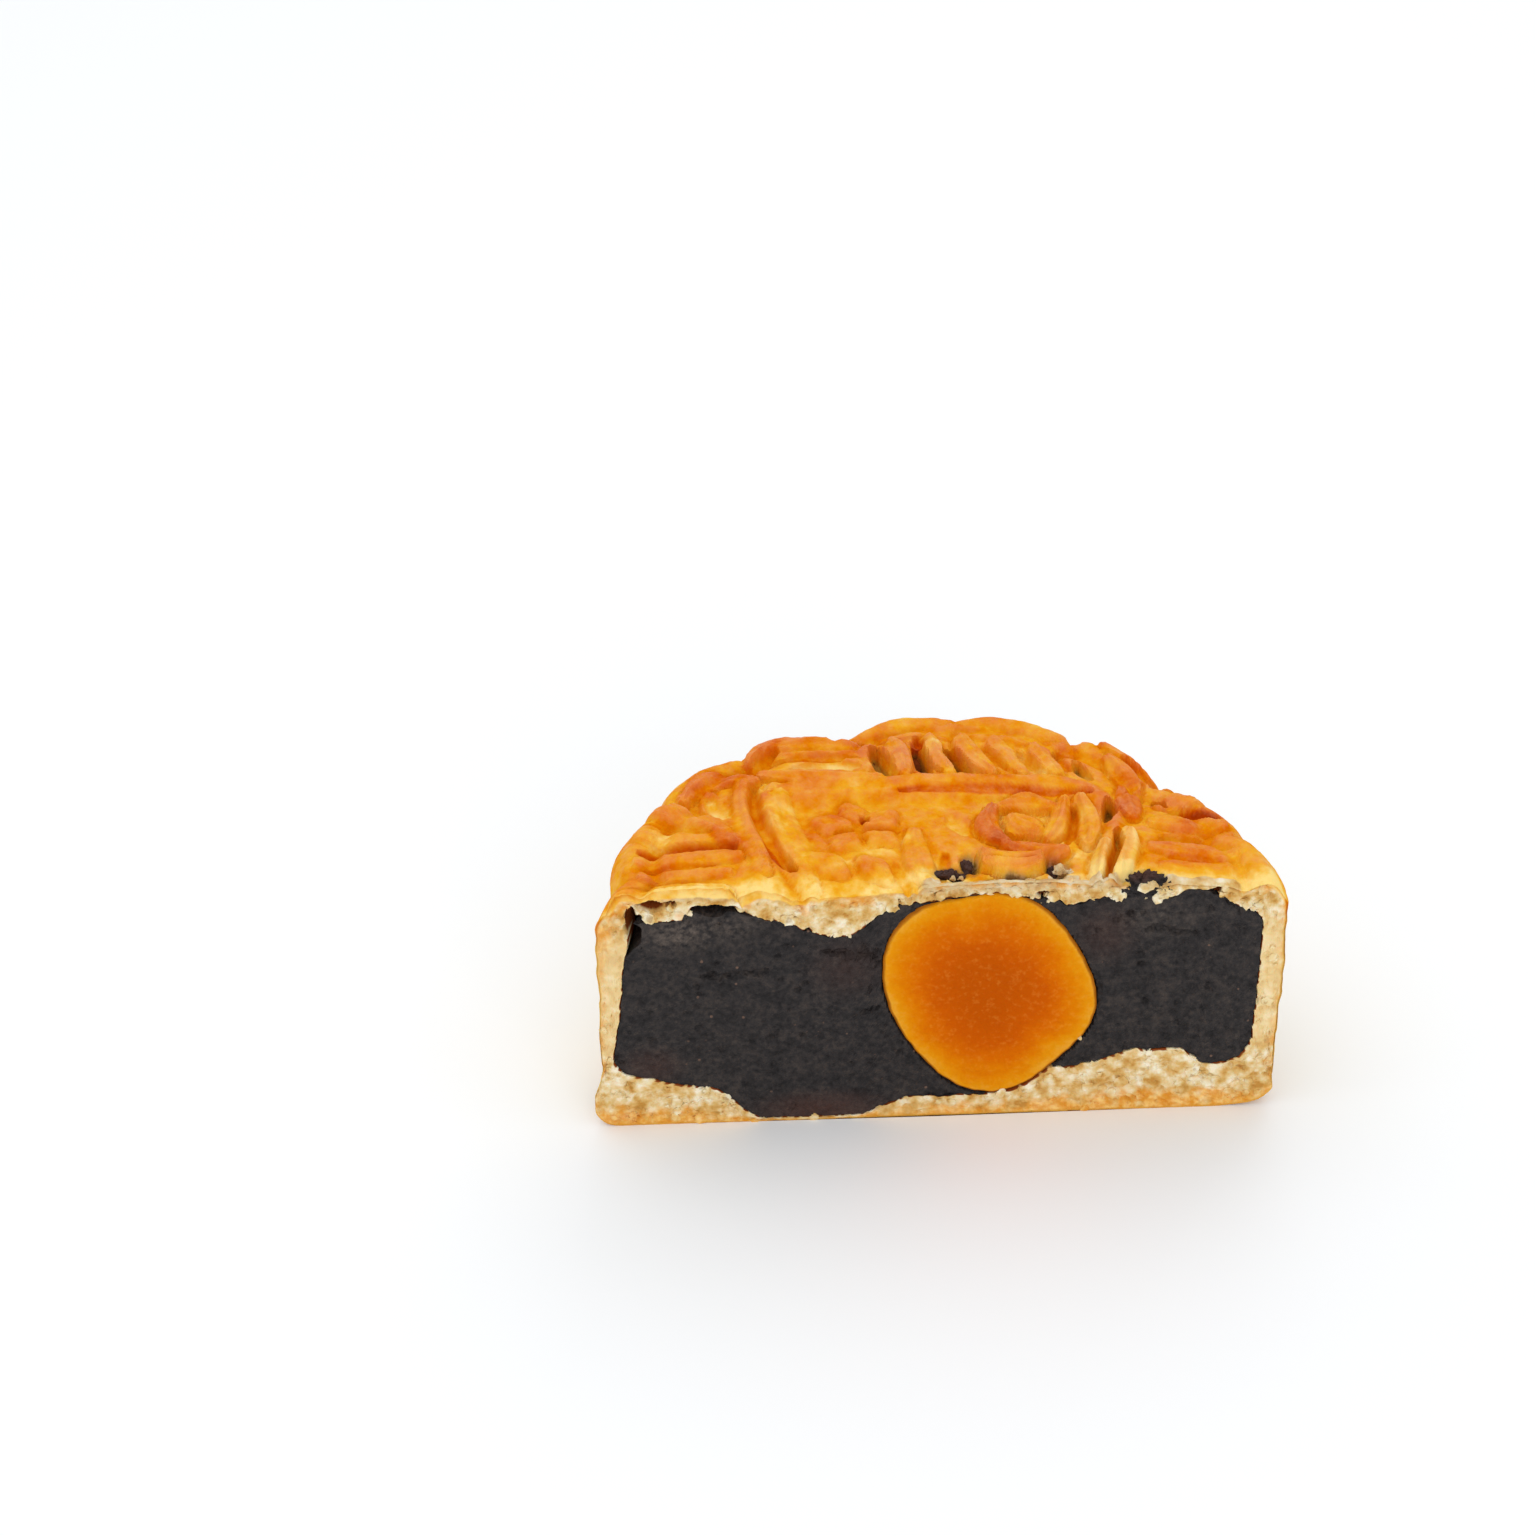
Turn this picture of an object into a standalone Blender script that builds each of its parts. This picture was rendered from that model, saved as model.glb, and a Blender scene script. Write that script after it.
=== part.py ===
# A baked mooncake cut in half down its middle: a moulded crust, a dark bean filling and half a salted egg yolk.
# Sizes are in millimetres and the scene is in metres, +Z up. The cut face looks towards -Y. The cake's own axis
# lies in the cut face, and the origin is under the middle of the half's box, on the surface it stands on.

import math

import bmesh
import bpy
import numpy as np

MM = 0.001
GAP = 0.3  # air between touching pieces

# Outside of the whole cake
CAKE_RADIUS = 40.2  # over the lobes
CAKE_HEIGHT = 35.7  # middle of the top
RIM_DROP = 2.6  # how much lower the top is where the shoulder begins
SHOULDER_RADIUS = 3.6  # rounding from the top into the side
FOOT_FLARE = 0.4  # the soft foot spreads this far past the side
FOOT_LEAN = 0.5  # more at the left end, less at the right
FOOT_HEIGHT = 3.4
FOOT_ROUND = 2.6
BACK_REACH = 40.6  # from the cut face to the back of the half
SIDE_SHIFT = 0.3  # moves the half's box, which reaches further to the left of the axis, over the origin
LOBES = 16
FIRST_CREASE = 15.5  # degrees, counted from +X
CREASE_DEPTH = 2.0
LOBE_SHARPNESS = 0.55

# Moulded top
RING_RADIUS = 21.2
RING_WIDTH = 1.9
RING_RISE = 0.8
RING_GROOVE = 2.6  # from the ring's middle in to the groove's middle
BEAD_INSET = 2.8  # from the scalloped edge in to the middle of its bead
BEAD_RISE = 0.7
FLOOR_RADIUS = 18.0
FLOOR_SINK = 0.9

# Slots of the three combs: first angle, step and count in degrees, inner and outer radius, depth
BACK_COMB = dict(first=52.5, step=10.0, count=6, inner=23.6, outer=29.6, depth=1.9)
RIGHT_COMB = dict(first=5.0, step=7.5, count=4, inner=26.5, outer=33.5, depth=1.1)
LEFT_COMB = dict(first=157.5, step=7.5, count=3, inner=27.5, outer=34.0, depth=1.0)
SLOT_WIDTH = 2.3

# Veins and hollows of the leaves between the combs: start, end, width, depth, sideways bow
LEAF_HOLLOWS = {
    "left inner vein": ((-22.0, 27.0), (-19.4, 5.0), 2.8, 1.3, 0.9),
    "left petal bowl": ((-28.0, 25.0), (-24.6, 17.0), 3.8, 1.0, -0.4),
    "back leaf vein": ((-21.7, 28.0), (-16.0, 20.6), 2.8, 0.8, 0.5),
    "back leaf bowl": ((-17.0, 25.0), (-8.5, 24.6), 4.0, 0.9, 0.3),
    "right outer vein": ((23.8, 28.2), (28.6, 20.4), 3.0, 1.1, 0.6),
    "right inner vein": ((23.2, 22.0), (24.0, 15.6), 2.6, 0.8, 0.2),
    "right ring crease": ((22.6, 13.5), (19.4, 0.5), 2.0, 1.3, 0.5),
    "right ring hole": ((20.9, 18.0), (20.8, 14.5), 2.6, 1.6, 0.0),
    "notch floor": ((18.0, 30.0), (20.4, 35.0), 3.4, 2.0, 0.0),
}

# Blossoms in the middle of the top: centre, radius, rise, petals, turn in degrees
BLOSSOMS = {
    "left": ((-10.0, 11.0), 7.2, 1.5, 5, 20.0),
    "right": ((10.4, 9.6), 6.8, 1.9, 5, 62.0),
}
PETAL_CUT = 0.5  # how far the grooves between petals go into their rise

# Slow unevenness of the baked cake: waves round the cake, size, phase in radians
RIM_WAVES = ((1, 0.4, 3.6), (2, 0.8, 2.9), (3, 0.3, 1.0))
SIDE_WAVES = ((1, 0.25, -1.57), (2, 0.2, 0.4), (3, 0.2, 2.1), (5, 0.15, 1.3))

# Hollow that the filling takes up
CEILING = 32.6
FLOOR = 7.2
WALL_RADIUS = 37.7
WALL_ROUND = 4.2
WALL_LEAN = 0.5  # the wall leans in towards the top by this much
THIN_CRUST = 1.3  # least thickness of the crust over the filling
THIN_BASE = 0.7  # and under it
REACH = 2.6  # the filling keeps this far to the side of the pattern's grooves

# Rises and dips of the ceiling and the floor of the hollow: place across and back, reach, height
CEILING_LUMPS = {
    "sag at the left": (-26.0, 0.0, 7.5, -0.9),
    "crumb left of the yolk": (-13.2, 0.0, 4.4, -4.2),
    "dip right of the yolk": (13.4, 0.0, 2.6, -0.9),
    "swell under the right leaf": (24.6, 0.0, 2.6, 1.3),
    "sag at the right": (33.0, 0.0, 2.6, -0.7),
}
FLOOR_LUMPS = {
    "thin base left of the yolk": (-13.4, 0.0, 7.2, -6.4),
    "thin base under the yolk": (0.0, 4.0, 6.0, -3.4),
    "thick base at the right": (25.5, 0.0, 6.0, 2.2),
}
LUMP_DEPTH = 9.0  # how far back from the cut face the lumps reach

# Yolk, an egg whose long axis leans a little to the left
YOLK_CENTRE = (5.8, 18.0)  # across and up, in the cut face
YOLK_WIDTH = 24.9
YOLK_HEIGHT = 30.0
YOLK_DEPTH = 24.4
YOLK_LEAN = 11.0
YOLK_BLUNT = 0.06  # the top end is this much wider than the lower one

# Fineness of the solids
OUTER_STEPS = 216
INNER_STEPS = 60
TOP_RINGS = 40
KEPT_SHARE = 0.28  # of the crust's faces, most of them where the pattern is
SIDE_RINGS = 5
HOLLOW_TOP_RINGS = 11
YOLK_SEGMENTS = 30
YOLK_RINGS = 18


def smooth_step(low, high, value):
    t = np.clip((value - low) / (high - low), 0.0, 1.0)
    return t * t * (3.0 - 2.0 * t)


def swell(distance, reach):
    """A soft round bump: 1 at no distance, 0 from the reach on."""
    return np.clip(1.0 - (distance / reach) ** 2, 0.0, None) ** 2


def waves(angle, terms):
    return sum(size * np.sin(count * angle + phase) for count, size, phase in terms)


def stroke(x, y, start, end, bow=0.0):
    """Distance from a line between two points, bowed to its left in the middle."""
    along = np.subtract(end, start)
    length = float(np.hypot(*along))
    ux, uy = along / length
    t = np.clip(((x - start[0]) * ux + (y - start[1]) * uy) / length, 0.0, 1.0)
    offset = bow * 4.0 * t * (1.0 - t)
    px = start[0] + ux * length * t - uy * offset
    py = start[1] + uy * length * t + ux * offset
    return np.hypot(x - px, y - py)


def lobe(angle):
    """0 in a crease of the side, 1 on the crown of a lobe."""
    turn = (angle - math.radians(FIRST_CREASE)) * LOBES / 2.0
    return np.abs(np.sin(turn)) ** LOBE_SHARPNESS


def edge_radius(angle):
    """Radius of the scalloped edge of the top."""
    return CAKE_RADIUS + waves(angle, SIDE_WAVES) - CREASE_DEPTH * (1.0 - lobe(angle))


def comb_depth(x, y, comb):
    depth = 0.0
    for k in range(comb["count"]):
        turn = math.radians(comb["first"] + k * comb["step"])
        heading = np.array((math.cos(turn), math.sin(turn)))
        distance = stroke(x, y, heading * comb["inner"], heading * comb["outer"])
        depth = np.maximum(depth, comb["depth"] * swell(distance, SLOT_WIDTH / 2.0 + 0.3))
    return depth


def blossom_rise(x, y, centre, radius, rise, petals, turn):
    dx, dy = x - centre[0], y - centre[1]
    distance = np.hypot(dx, dy)
    angle = np.arctan2(dy, dx) - math.radians(turn)
    petal = np.abs(np.cos(angle * petals / 2.0))
    reach = radius * (0.74 + 0.26 * petal**0.6)
    plate = 1.0 - smooth_step(0.72, 1.0, distance / reach)
    cut = PETAL_CUT * (1.0 - smooth_step(0.0, 0.4, petal)) * smooth_step(0.2, 0.5, distance / radius)
    eye = 0.35 * (1.0 - smooth_step(0.1, 0.28, distance / radius))
    return rise * plate * (1.0 - cut - eye)


def relief(x, y):
    """Height of the moulded pattern above or below the plain dome of the top."""
    radius, angle = np.hypot(x, y), np.arctan2(y, x)
    inset = edge_radius(angle) - radius
    height = BEAD_RISE * swell(inset - BEAD_INSET, 2.4)
    height = height - 0.5 * swell(inset - BEAD_INSET - 3.0, 1.6)
    height = height + RING_RISE * swell(radius - RING_RADIUS, RING_WIDTH)
    height = height - RING_RISE * swell(radius - RING_RADIUS + RING_GROOVE, 1.7)
    height = height - FLOOR_SINK * (1.0 - smooth_step(FLOOR_RADIUS - 2.0, FLOOR_RADIUS, radius))
    pressed = [comb_depth(x, y, comb) for comb in (BACK_COMB, RIGHT_COMB, LEFT_COMB)]
    for start, end, width, depth, bow in LEAF_HOLLOWS.values():
        pressed.append(depth * swell(stroke(x, y, start, end, bow), width / 2.0 + 0.5))
    height = height - np.maximum.reduce(pressed)
    for centre, radius, rise, petals, turn in BLOSSOMS.values():
        height = height + blossom_rise(x, y, centre, radius, rise, petals, turn)
    return height


def lowest_relief(x, y):
    """Depth of the lowest part of the pattern near each place."""
    turns = [math.radians(45.0 * k) for k in range(8)]
    around = [relief(x + REACH * math.cos(turn), y + REACH * math.sin(turn)) for turn in turns]
    return np.minimum.reduce([relief(x, y), *around])


def plain_top(radius):
    return CAKE_HEIGHT - RIM_DROP * (radius / (CAKE_RADIUS - SHOULDER_RADIUS)) ** 2


def bake(angle, radius):
    """How far the oven lifted or dropped the cake round its rim."""
    return waves(angle, RIM_WAVES) * (radius / CAKE_RADIUS) ** 2


def cake_profile():
    """Outside of the cake from the middle of the top down to the middle of the base."""
    brow = CAKE_RADIUS - SHOULDER_RADIUS
    points = [(brow * k / TOP_RINGS, plain_top(brow * k / TOP_RINGS)) for k in range(TOP_RINGS + 1)]
    shoulder_top = plain_top(brow)
    for turn in (22.5, 45.0, 67.5, 90.0):
        a = math.radians(turn)
        points.append((brow + SHOULDER_RADIUS * math.sin(a), shoulder_top - SHOULDER_RADIUS * (1 - math.cos(a))))
    side_top = shoulder_top - SHOULDER_RADIUS
    for k in range(1, SIDE_RINGS + 1):
        points.append((CAKE_RADIUS, side_top + (FOOT_HEIGHT + FOOT_ROUND - side_top) * k / SIDE_RINGS))
    foot = CAKE_RADIUS + FOOT_FLARE
    points.append((foot, FOOT_HEIGHT))
    for turn in (45.0, 90.0):
        a = math.radians(turn)
        points.append((foot - FOOT_ROUND * (1 - math.cos(a)), FOOT_ROUND * (1 - math.sin(a))))
    points += [(CAKE_RADIUS * 0.62, 0.0), (0.0, 0.0)]
    return points


def hollow_profile():
    """Hollow of the crust from the middle of its ceiling down to the middle of its floor."""
    brow = WALL_RADIUS - WALL_ROUND
    points = [(brow * k / HOLLOW_TOP_RINGS, CEILING) for k in range(HOLLOW_TOP_RINGS + 1)]
    for turn in (30.0, 60.0, 90.0):
        a = math.radians(turn)
        points.append((brow + WALL_ROUND * math.sin(a), CEILING - WALL_ROUND * (1 - math.cos(a))))
    points.append((WALL_RADIUS + WALL_LEAN, (CEILING + FLOOR) / 2.0))
    for turn in (90.0, 45.0, 0.0):
        a = math.radians(turn)
        points.append((brow + WALL_LEAN + WALL_ROUND * math.sin(a), FLOOR + WALL_ROUND * (1 - math.cos(a)) * 0.6))
    points += [(brow * k / HOLLOW_TOP_RINGS, FLOOR) for k in range(HOLLOW_TOP_RINGS - 1, -1, -1)]
    return points


def lumps(x, y, terms):
    rise = 0.0
    for across, back, reach, height in terms.values():
        rise = rise + height * np.exp(-(((x - across) / reach) ** 2) - ((y - back) / LUMP_DEPTH) ** 2)
    return rise


def shape_cake(points):
    """Scallops the side, moulds the top and bakes the whole a little uneven."""
    x, y, z = points.T
    radius, angle = np.hypot(x, y), np.arctan2(y, x)
    on_top = smooth_step(CAKE_HEIGHT - RIM_DROP - SHOULDER_RADIUS, CAKE_HEIGHT - RIM_DROP - 0.6, z)
    on_top = on_top * smooth_step(-6.0, -2.0, y)  # the half that is cut away stays plain
    height = z + on_top * relief(x, y) + smooth_step(8.0, 30.0, z) * bake(angle, radius)
    low = 1.0 - smooth_step(FOOT_HEIGHT, FOOT_HEIGHT + 4.0, z)
    out = smooth_step(0.6, 0.95, radius / CAKE_RADIUS)
    radius = radius + (edge_radius(angle) - CAKE_RADIUS - FOOT_LEAN * low * np.cos(angle)) * out
    return np.column_stack((radius * np.cos(angle), radius * np.sin(angle), height))


def shape_hollow(points):
    """Raises and lowers the hollow's ceiling and floor, and lets its wall follow the lobes a little."""
    x, y, z = points.T
    radius, angle = np.hypot(x, y), np.arctan2(y, x)
    up = smooth_step(FLOOR + 2.0, CEILING - 2.0, z)
    height = z + up * (lumps(x, y, CEILING_LUMPS) + bake(angle, radius))
    height = height + (1.0 - up) * lumps(x, y, FLOOR_LUMPS)
    height = np.minimum(height, plain_top(radius) + bake(angle, radius) + lowest_relief(x, y) - THIN_CRUST)
    height = np.maximum(height, THIN_BASE)
    scale = 1.0 + 0.5 * (edge_radius(angle) / CAKE_RADIUS - 1.0) * smooth_step(0.7, 1.0, radius / WALL_RADIUS)
    return np.column_stack((x * scale, y * scale, height))


def collection_named(name):
    made = bpy.data.collections.new(name)
    bpy.context.scene.collection.children.link(made)
    return made


def material_named(name, colour, roughness):
    made = bpy.data.materials.new(name)
    made.use_nodes = True
    shader = made.node_tree.nodes["Principled BSDF"]
    shader.inputs["Base Color"].default_value = (*colour, 1.0)
    shader.inputs["Roughness"].default_value = roughness
    shader.inputs["Metallic"].default_value = 0.0
    return made


def placed(mesh, name, collection):
    obj = bpy.data.objects.new(name, mesh)
    collection.objects.link(obj)
    return obj


def turned(name, profile, steps, shape, collection):
    """A closed body turned from a profile, its points then moved by the shape function."""
    wire = bpy.data.meshes.new(name + " profile")
    wire.from_pydata([(r * MM, 0.0, z * MM) for r, z in profile], [(k, k + 1) for k in range(len(profile) - 1)], [])
    lathe = placed(wire, name + " lathe", collection)
    screw = lathe.modifiers.new("Turn", "SCREW")
    screw.steps = screw.render_steps = steps
    screw.use_merge_vertices = True
    screw.merge_threshold = 0.00001
    weld = lathe.modifiers.new("Close", "WELD")
    weld.merge_threshold = 0.00001
    mesh = bpy.data.meshes.new_from_object(lathe.evaluated_get(bpy.context.evaluated_depsgraph_get()))
    bpy.data.objects.remove(lathe)
    points = np.empty(len(mesh.vertices) * 3)
    mesh.vertices.foreach_get("co", points)
    x, y, z = points.reshape(-1, 3).T / MM
    turn = math.pi / steps  # the knife passes midway between two columns of points
    x, y = x * math.cos(turn) - y * math.sin(turn), x * math.sin(turn) + y * math.cos(turn)
    mesh.vertices.foreach_set("co", (shape(np.column_stack((x, y, z))) * MM).ravel())
    # The hollow and the filling share these points, so the same diagonals keep the air between them even
    edit = bmesh.new()
    edit.from_mesh(mesh)
    bmesh.ops.triangulate(edit, faces=edit.faces, quad_method="BEAUTY")
    edit.to_mesh(mesh)
    edit.free()
    return placed(mesh, name, collection)


def yolk_ball(name, grown, collection):
    """An egg: a sphere drawn out to its width, depth and height, blunter on top, then leaned over."""
    bpy.ops.mesh.primitive_uv_sphere_add(segments=YOLK_SEGMENTS, ring_count=YOLK_RINGS, radius=1.0)
    ball = bpy.context.object
    ball.name = name
    for other in ball.users_collection:
        other.objects.unlink(ball)
    collection.objects.link(ball)
    half = np.array((YOLK_WIDTH, YOLK_DEPTH, YOLK_HEIGHT)) / 2.0 + grown
    lean = math.radians(YOLK_LEAN)
    for vertex in ball.data.vertices:
        x, y, z = vertex.co
        x, y = (side * (1.0 + YOLK_BLUNT * z) for side in (x, y))
        x, y, z = half * (x, y, z)
        x, z = x * math.cos(lean) - z * math.sin(lean), x * math.sin(lean) + z * math.cos(lean)
        vertex.co = np.array((x + YOLK_CENTRE[0], y, z + YOLK_CENTRE[1])) * MM
    return ball


def half_space(collection):
    """A block over the half of the cake that was cut away."""
    bpy.ops.mesh.primitive_cube_add(size=1.0)
    block = bpy.context.object
    block.name = "knife"
    for other in block.users_collection:
        other.objects.unlink(block)
    collection.objects.link(block)
    for vertex in block.data.vertices:
        vertex.co = vertex.co.x * 0.2, vertex.co.y * 0.1 - 0.05, vertex.co.z * 0.2
    return block


def cut(obj, cutter):
    cutter.hide_render = True
    cutter.display_type = "WIRE"
    boolean = obj.modifiers.new("Cut by " + cutter.name, "BOOLEAN")
    boolean.operation = "DIFFERENCE"
    boolean.solver = "EXACT"
    boolean.object = cutter


def finish(obj, material):
    obj.data.materials.clear()
    obj.data.materials.append(material)
    obj.data.shade_smooth()


def main():
    for old in list(bpy.context.scene.objects):
        bpy.data.objects.remove(old)
    parts = collection_named("mooncake half")
    cutters = collection_named("cutters")
    cutters.hide_render = True

    knife = half_space(cutters)
    hollow = turned("hollow", hollow_profile(), INNER_STEPS, shape_hollow, cutters)
    socket = yolk_ball("yolk socket", GAP, cutters)

    crust = turned("crust", cake_profile(), OUTER_STEPS, shape_cake, parts)
    thin_out = crust.modifiers.new("Fewer faces where it is plain", "DECIMATE")
    thin_out.ratio = KEPT_SHARE
    filling = turned("filling", hollow_profile(), INNER_STEPS, shape_hollow, parts)
    shrink = filling.modifiers.new("Air round the filling", "DISPLACE")
    shrink.mid_level = 0.0
    shrink.strength = -GAP * MM
    yolk = yolk_ball("yolk", 0.0, parts)
    for obj, tools in ((crust, (hollow, socket, knife)), (filling, (socket, knife)), (yolk, (knife,))):
        for tool in tools:
            cut(obj, tool)

    finish(crust, material_named("browned crust", (0.78, 0.36, 0.07), 0.45))
    finish(filling, material_named("dark bean paste", (0.02, 0.017, 0.017), 0.5))
    finish(yolk, material_named("salted yolk", (0.78, 0.22, 0.012), 0.35))

    for obj in (*parts.objects, *cutters.objects):
        obj.location = SIDE_SHIFT * MM, -BACK_REACH / 2.0 * MM, 0.0


main()
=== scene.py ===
# Half a baked mooncake, cut side to the front: moulded crust, dark bean filling and a cut salted egg yolk.
# Lengths in the dictionaries are millimetres; the frame and the meshes are in metres.
import math

import bmesh
import bpy
import numpy as np
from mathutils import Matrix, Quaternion, Vector, noise


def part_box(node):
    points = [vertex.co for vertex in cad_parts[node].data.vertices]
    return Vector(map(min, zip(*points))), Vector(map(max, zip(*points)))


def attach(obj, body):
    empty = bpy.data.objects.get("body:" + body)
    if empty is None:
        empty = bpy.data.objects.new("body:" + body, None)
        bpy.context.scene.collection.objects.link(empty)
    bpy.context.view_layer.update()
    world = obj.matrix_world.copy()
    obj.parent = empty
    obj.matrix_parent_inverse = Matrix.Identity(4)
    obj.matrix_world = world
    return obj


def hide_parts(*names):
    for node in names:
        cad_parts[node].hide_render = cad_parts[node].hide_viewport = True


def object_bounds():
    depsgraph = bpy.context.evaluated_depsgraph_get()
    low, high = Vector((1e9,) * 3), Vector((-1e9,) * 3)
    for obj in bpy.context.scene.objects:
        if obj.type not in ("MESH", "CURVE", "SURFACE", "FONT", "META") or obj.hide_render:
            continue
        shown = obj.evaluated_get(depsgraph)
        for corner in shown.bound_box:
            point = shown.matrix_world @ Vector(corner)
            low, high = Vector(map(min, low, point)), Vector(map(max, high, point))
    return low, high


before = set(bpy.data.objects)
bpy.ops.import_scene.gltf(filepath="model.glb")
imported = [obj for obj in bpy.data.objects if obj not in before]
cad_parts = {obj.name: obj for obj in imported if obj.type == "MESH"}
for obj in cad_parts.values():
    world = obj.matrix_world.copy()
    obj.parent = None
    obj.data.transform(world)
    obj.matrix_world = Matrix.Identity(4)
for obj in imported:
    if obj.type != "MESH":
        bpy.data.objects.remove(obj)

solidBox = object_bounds()
mm = 0.001

# The cake's own axis stands in the cut face, a little right of the middle of the half's box
axisAcross = 0.3
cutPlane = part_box("crust")[0][1] / mm


def smoothStep(low, high, value):
    t = np.clip((value - low) / (high - low), 0, 1)
    return t * t * (3 - 2 * t)


def swell(distance, reach):
    # a soft round bump: 1 at no distance, 0 from the reach on
    return np.clip(1 - (distance / reach) ** 2, 0, None) ** 2


def trough(distance, reach):
    # as swell, with a flatter bottom and steeper sides
    return 1 - smoothStep(0.2, 1.0, np.abs(distance) / reach)


def plump(distance, reach):
    # the round back of a leaf or petal, steep at its edge
    return np.clip(1 - (distance / reach) ** 2, 0, None) ** 0.7


def waves(angle, terms):
    return sum(size * np.sin(count * angle + phase) for count, size, phase in terms)


def grain(points, size, octaves, seed):
    # rough natural noise, about -1 to 1, with features of the given size
    return np.array([noise.fractal(Vector(p), 0.9, 2.1, octaves) for p in points / size + seed])


def roughness(points, terms):
    # noise of several sizes together: strength, size, octaves and seed of each
    return sum(strength * grain(points, size, octaves, seed) for strength, size, octaves, seed in terms)


def cells(points, size, seed):
    # distance to the nearest of scattered points: 0 at one, about 1 midway between two
    return np.array([noise.voronoi(Vector(p))[0][0] for p in points / size + seed])


def spread(x, y, centre, reach):
    # distance from a centre, counted in its reach each way
    return np.hypot((x - centre[0]) / reach[0], (y - centre[1]) / reach[1])


def stroke(x, y, start, end, bow=0.0, taper=0.0):
    # distance from a line between two points that bows to its left in the middle;
    # a tapered line narrows towards its ends, so distances there count for more
    along = np.subtract(end, start)
    length = float(np.hypot(*along))
    ux, uy = along / length
    dx, dy = x - start[0], y - start[1]
    t = np.clip((dx * ux + dy * uy) / length, 0, 1)
    offset = bow * 4 * t * (1 - t)
    away = np.hypot(dx - ux * length * t + uy * offset, dy - uy * length * t - ux * offset)
    return away / (1 - taper * (2 * t - 1) ** 2)


def squareDistance(x, y, side, corner):
    # from the line of a square with round corners, negative inside
    dx, dy = np.abs(x) - side + corner, np.abs(y) - side + corner
    return np.hypot(np.maximum(dx, 0), np.maximum(dy, 0)) + np.minimum(np.maximum(dx, dy), 0) - corner


def polar(degrees, radius):
    return radius * math.cos(math.radians(degrees)), radius * math.sin(math.radians(degrees))


def inFrame(points):
    # from millimetres round the cake's axis to metres in the frame, kept inside the solids' box
    return np.clip((points + (axisAcross, cutPlane, 0)) * mm, solidBox[0], solidBox[1])


def placed(name, data):
    thing = bpy.data.objects.new(name, data)
    bpy.context.scene.collection.objects.link(thing)
    return thing


def newPiece(name, points, faces):
    mesh = bpy.data.meshes.new(name)
    mesh.from_pydata(inFrame(points).tolist(), [], faces)
    mesh.update()
    return placed(name, mesh)


def addValue(piece, name, values):
    piece.data.attributes.new(name, "FLOAT", "POINT").data.foreach_set("value", np.asarray(values, float))


def joined(blocks):
    # blocks of points, laid row after row, as one list of points and its quads
    points, faces, first = [], [], 0
    for block in blocks:
        rows, columns = block.shape[:2]
        r, c = np.meshgrid(np.arange(rows - 1), np.arange(columns - 1), indexing="ij")
        a = (first + r * columns + c).ravel()
        faces += np.column_stack((a, a + 1, a + columns + 1, a + columns)).tolist()
        points.append(block.reshape(-1, 3))
        first += rows * columns
    return np.vstack(points), faces


def sealed(piece, flatBelow=None):
    # merges the points where two blocks of a body meet and turns all faces outwards
    weld = 0.004 * mm
    edit = bmesh.new()
    edit.from_mesh(piece.data)
    bmesh.ops.remove_doubles(edit, verts=edit.verts, dist=weld)
    bmesh.ops.dissolve_degenerate(edit, edges=edit.edges, dist=weld * 0.1)
    if flatBelow is not None:
        # what lies flat on the table becomes a few large faces
        under = [v for v in edit.verts if v.co.z < flatBelow * mm]
        flat = [e for e in edit.edges if all(v.co.z < flatBelow * mm for v in e.verts)]
        bmesh.ops.dissolve_limit(edit, angle_limit=0.02, verts=under, edges=flat)
    bmesh.ops.recalc_face_normals(edit, faces=edit.faces)
    edit.to_mesh(piece.data)
    edit.free()


# Camera, light and floor

view = {
    "lens": 83.46, "sensor": 36.0,
    "distance": 483.2,  # to the point on the table that the camera looks at
    "pitch": 35.58, "roll": -0.67,
    "turn": 1.86,  # degrees that the cut faces to the right of the camera
    "aside": 19.855, "nearer": 70.05,  # the half's place from the point looked at
    "raised": 1.5,
}

lights = {
    "sky": (0.97, 0.985, 1.0), "skyStrength": 0.88,
    "lamps": {
        "key": {"place": (-220, 60, 560), "size": 460, "watts": 0.6, "colour": (1.0, 0.985, 0.96)},
        "front": {"place": (120, -620, 260), "size": 420, "watts": 0.85, "colour": (1.0, 0.99, 0.97)},
        "back": {"place": (160, 420, 420), "size": 360, "watts": 0.35, "colour": (0.97, 0.985, 1.0)},
    },
}


def makeCamera():
    pitch, turn = math.radians(view["pitch"]), math.radians(view["turn"])
    back = view["distance"] * math.cos(pitch) - view["nearer"]
    up = view["distance"] * math.sin(pitch) + view["raised"]
    # the camera's place seen from the half, which stands turned in front of it
    x = -view["aside"] * math.cos(turn) - back * math.sin(turn)
    y = view["aside"] * math.sin(turn) - back * math.cos(turn)
    data = bpy.data.cameras.new("camera")
    data.lens, data.sensor_width = view["lens"], view["sensor"]
    data.clip_start, data.clip_end = 0.01, 20
    camera = placed("camera", data)
    camera.location = (x + axisAcross) * mm, (y + cutPlane) * mm, up * mm
    tilt = Quaternion((1, 0, 0), math.pi / 2 - pitch)
    roll = Quaternion((0, 0, 1), math.radians(view["roll"]))
    camera.rotation_euler = (Quaternion((0, 0, 1), -turn) @ tilt @ roll).to_euler()
    bpy.context.scene.camera = camera


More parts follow.
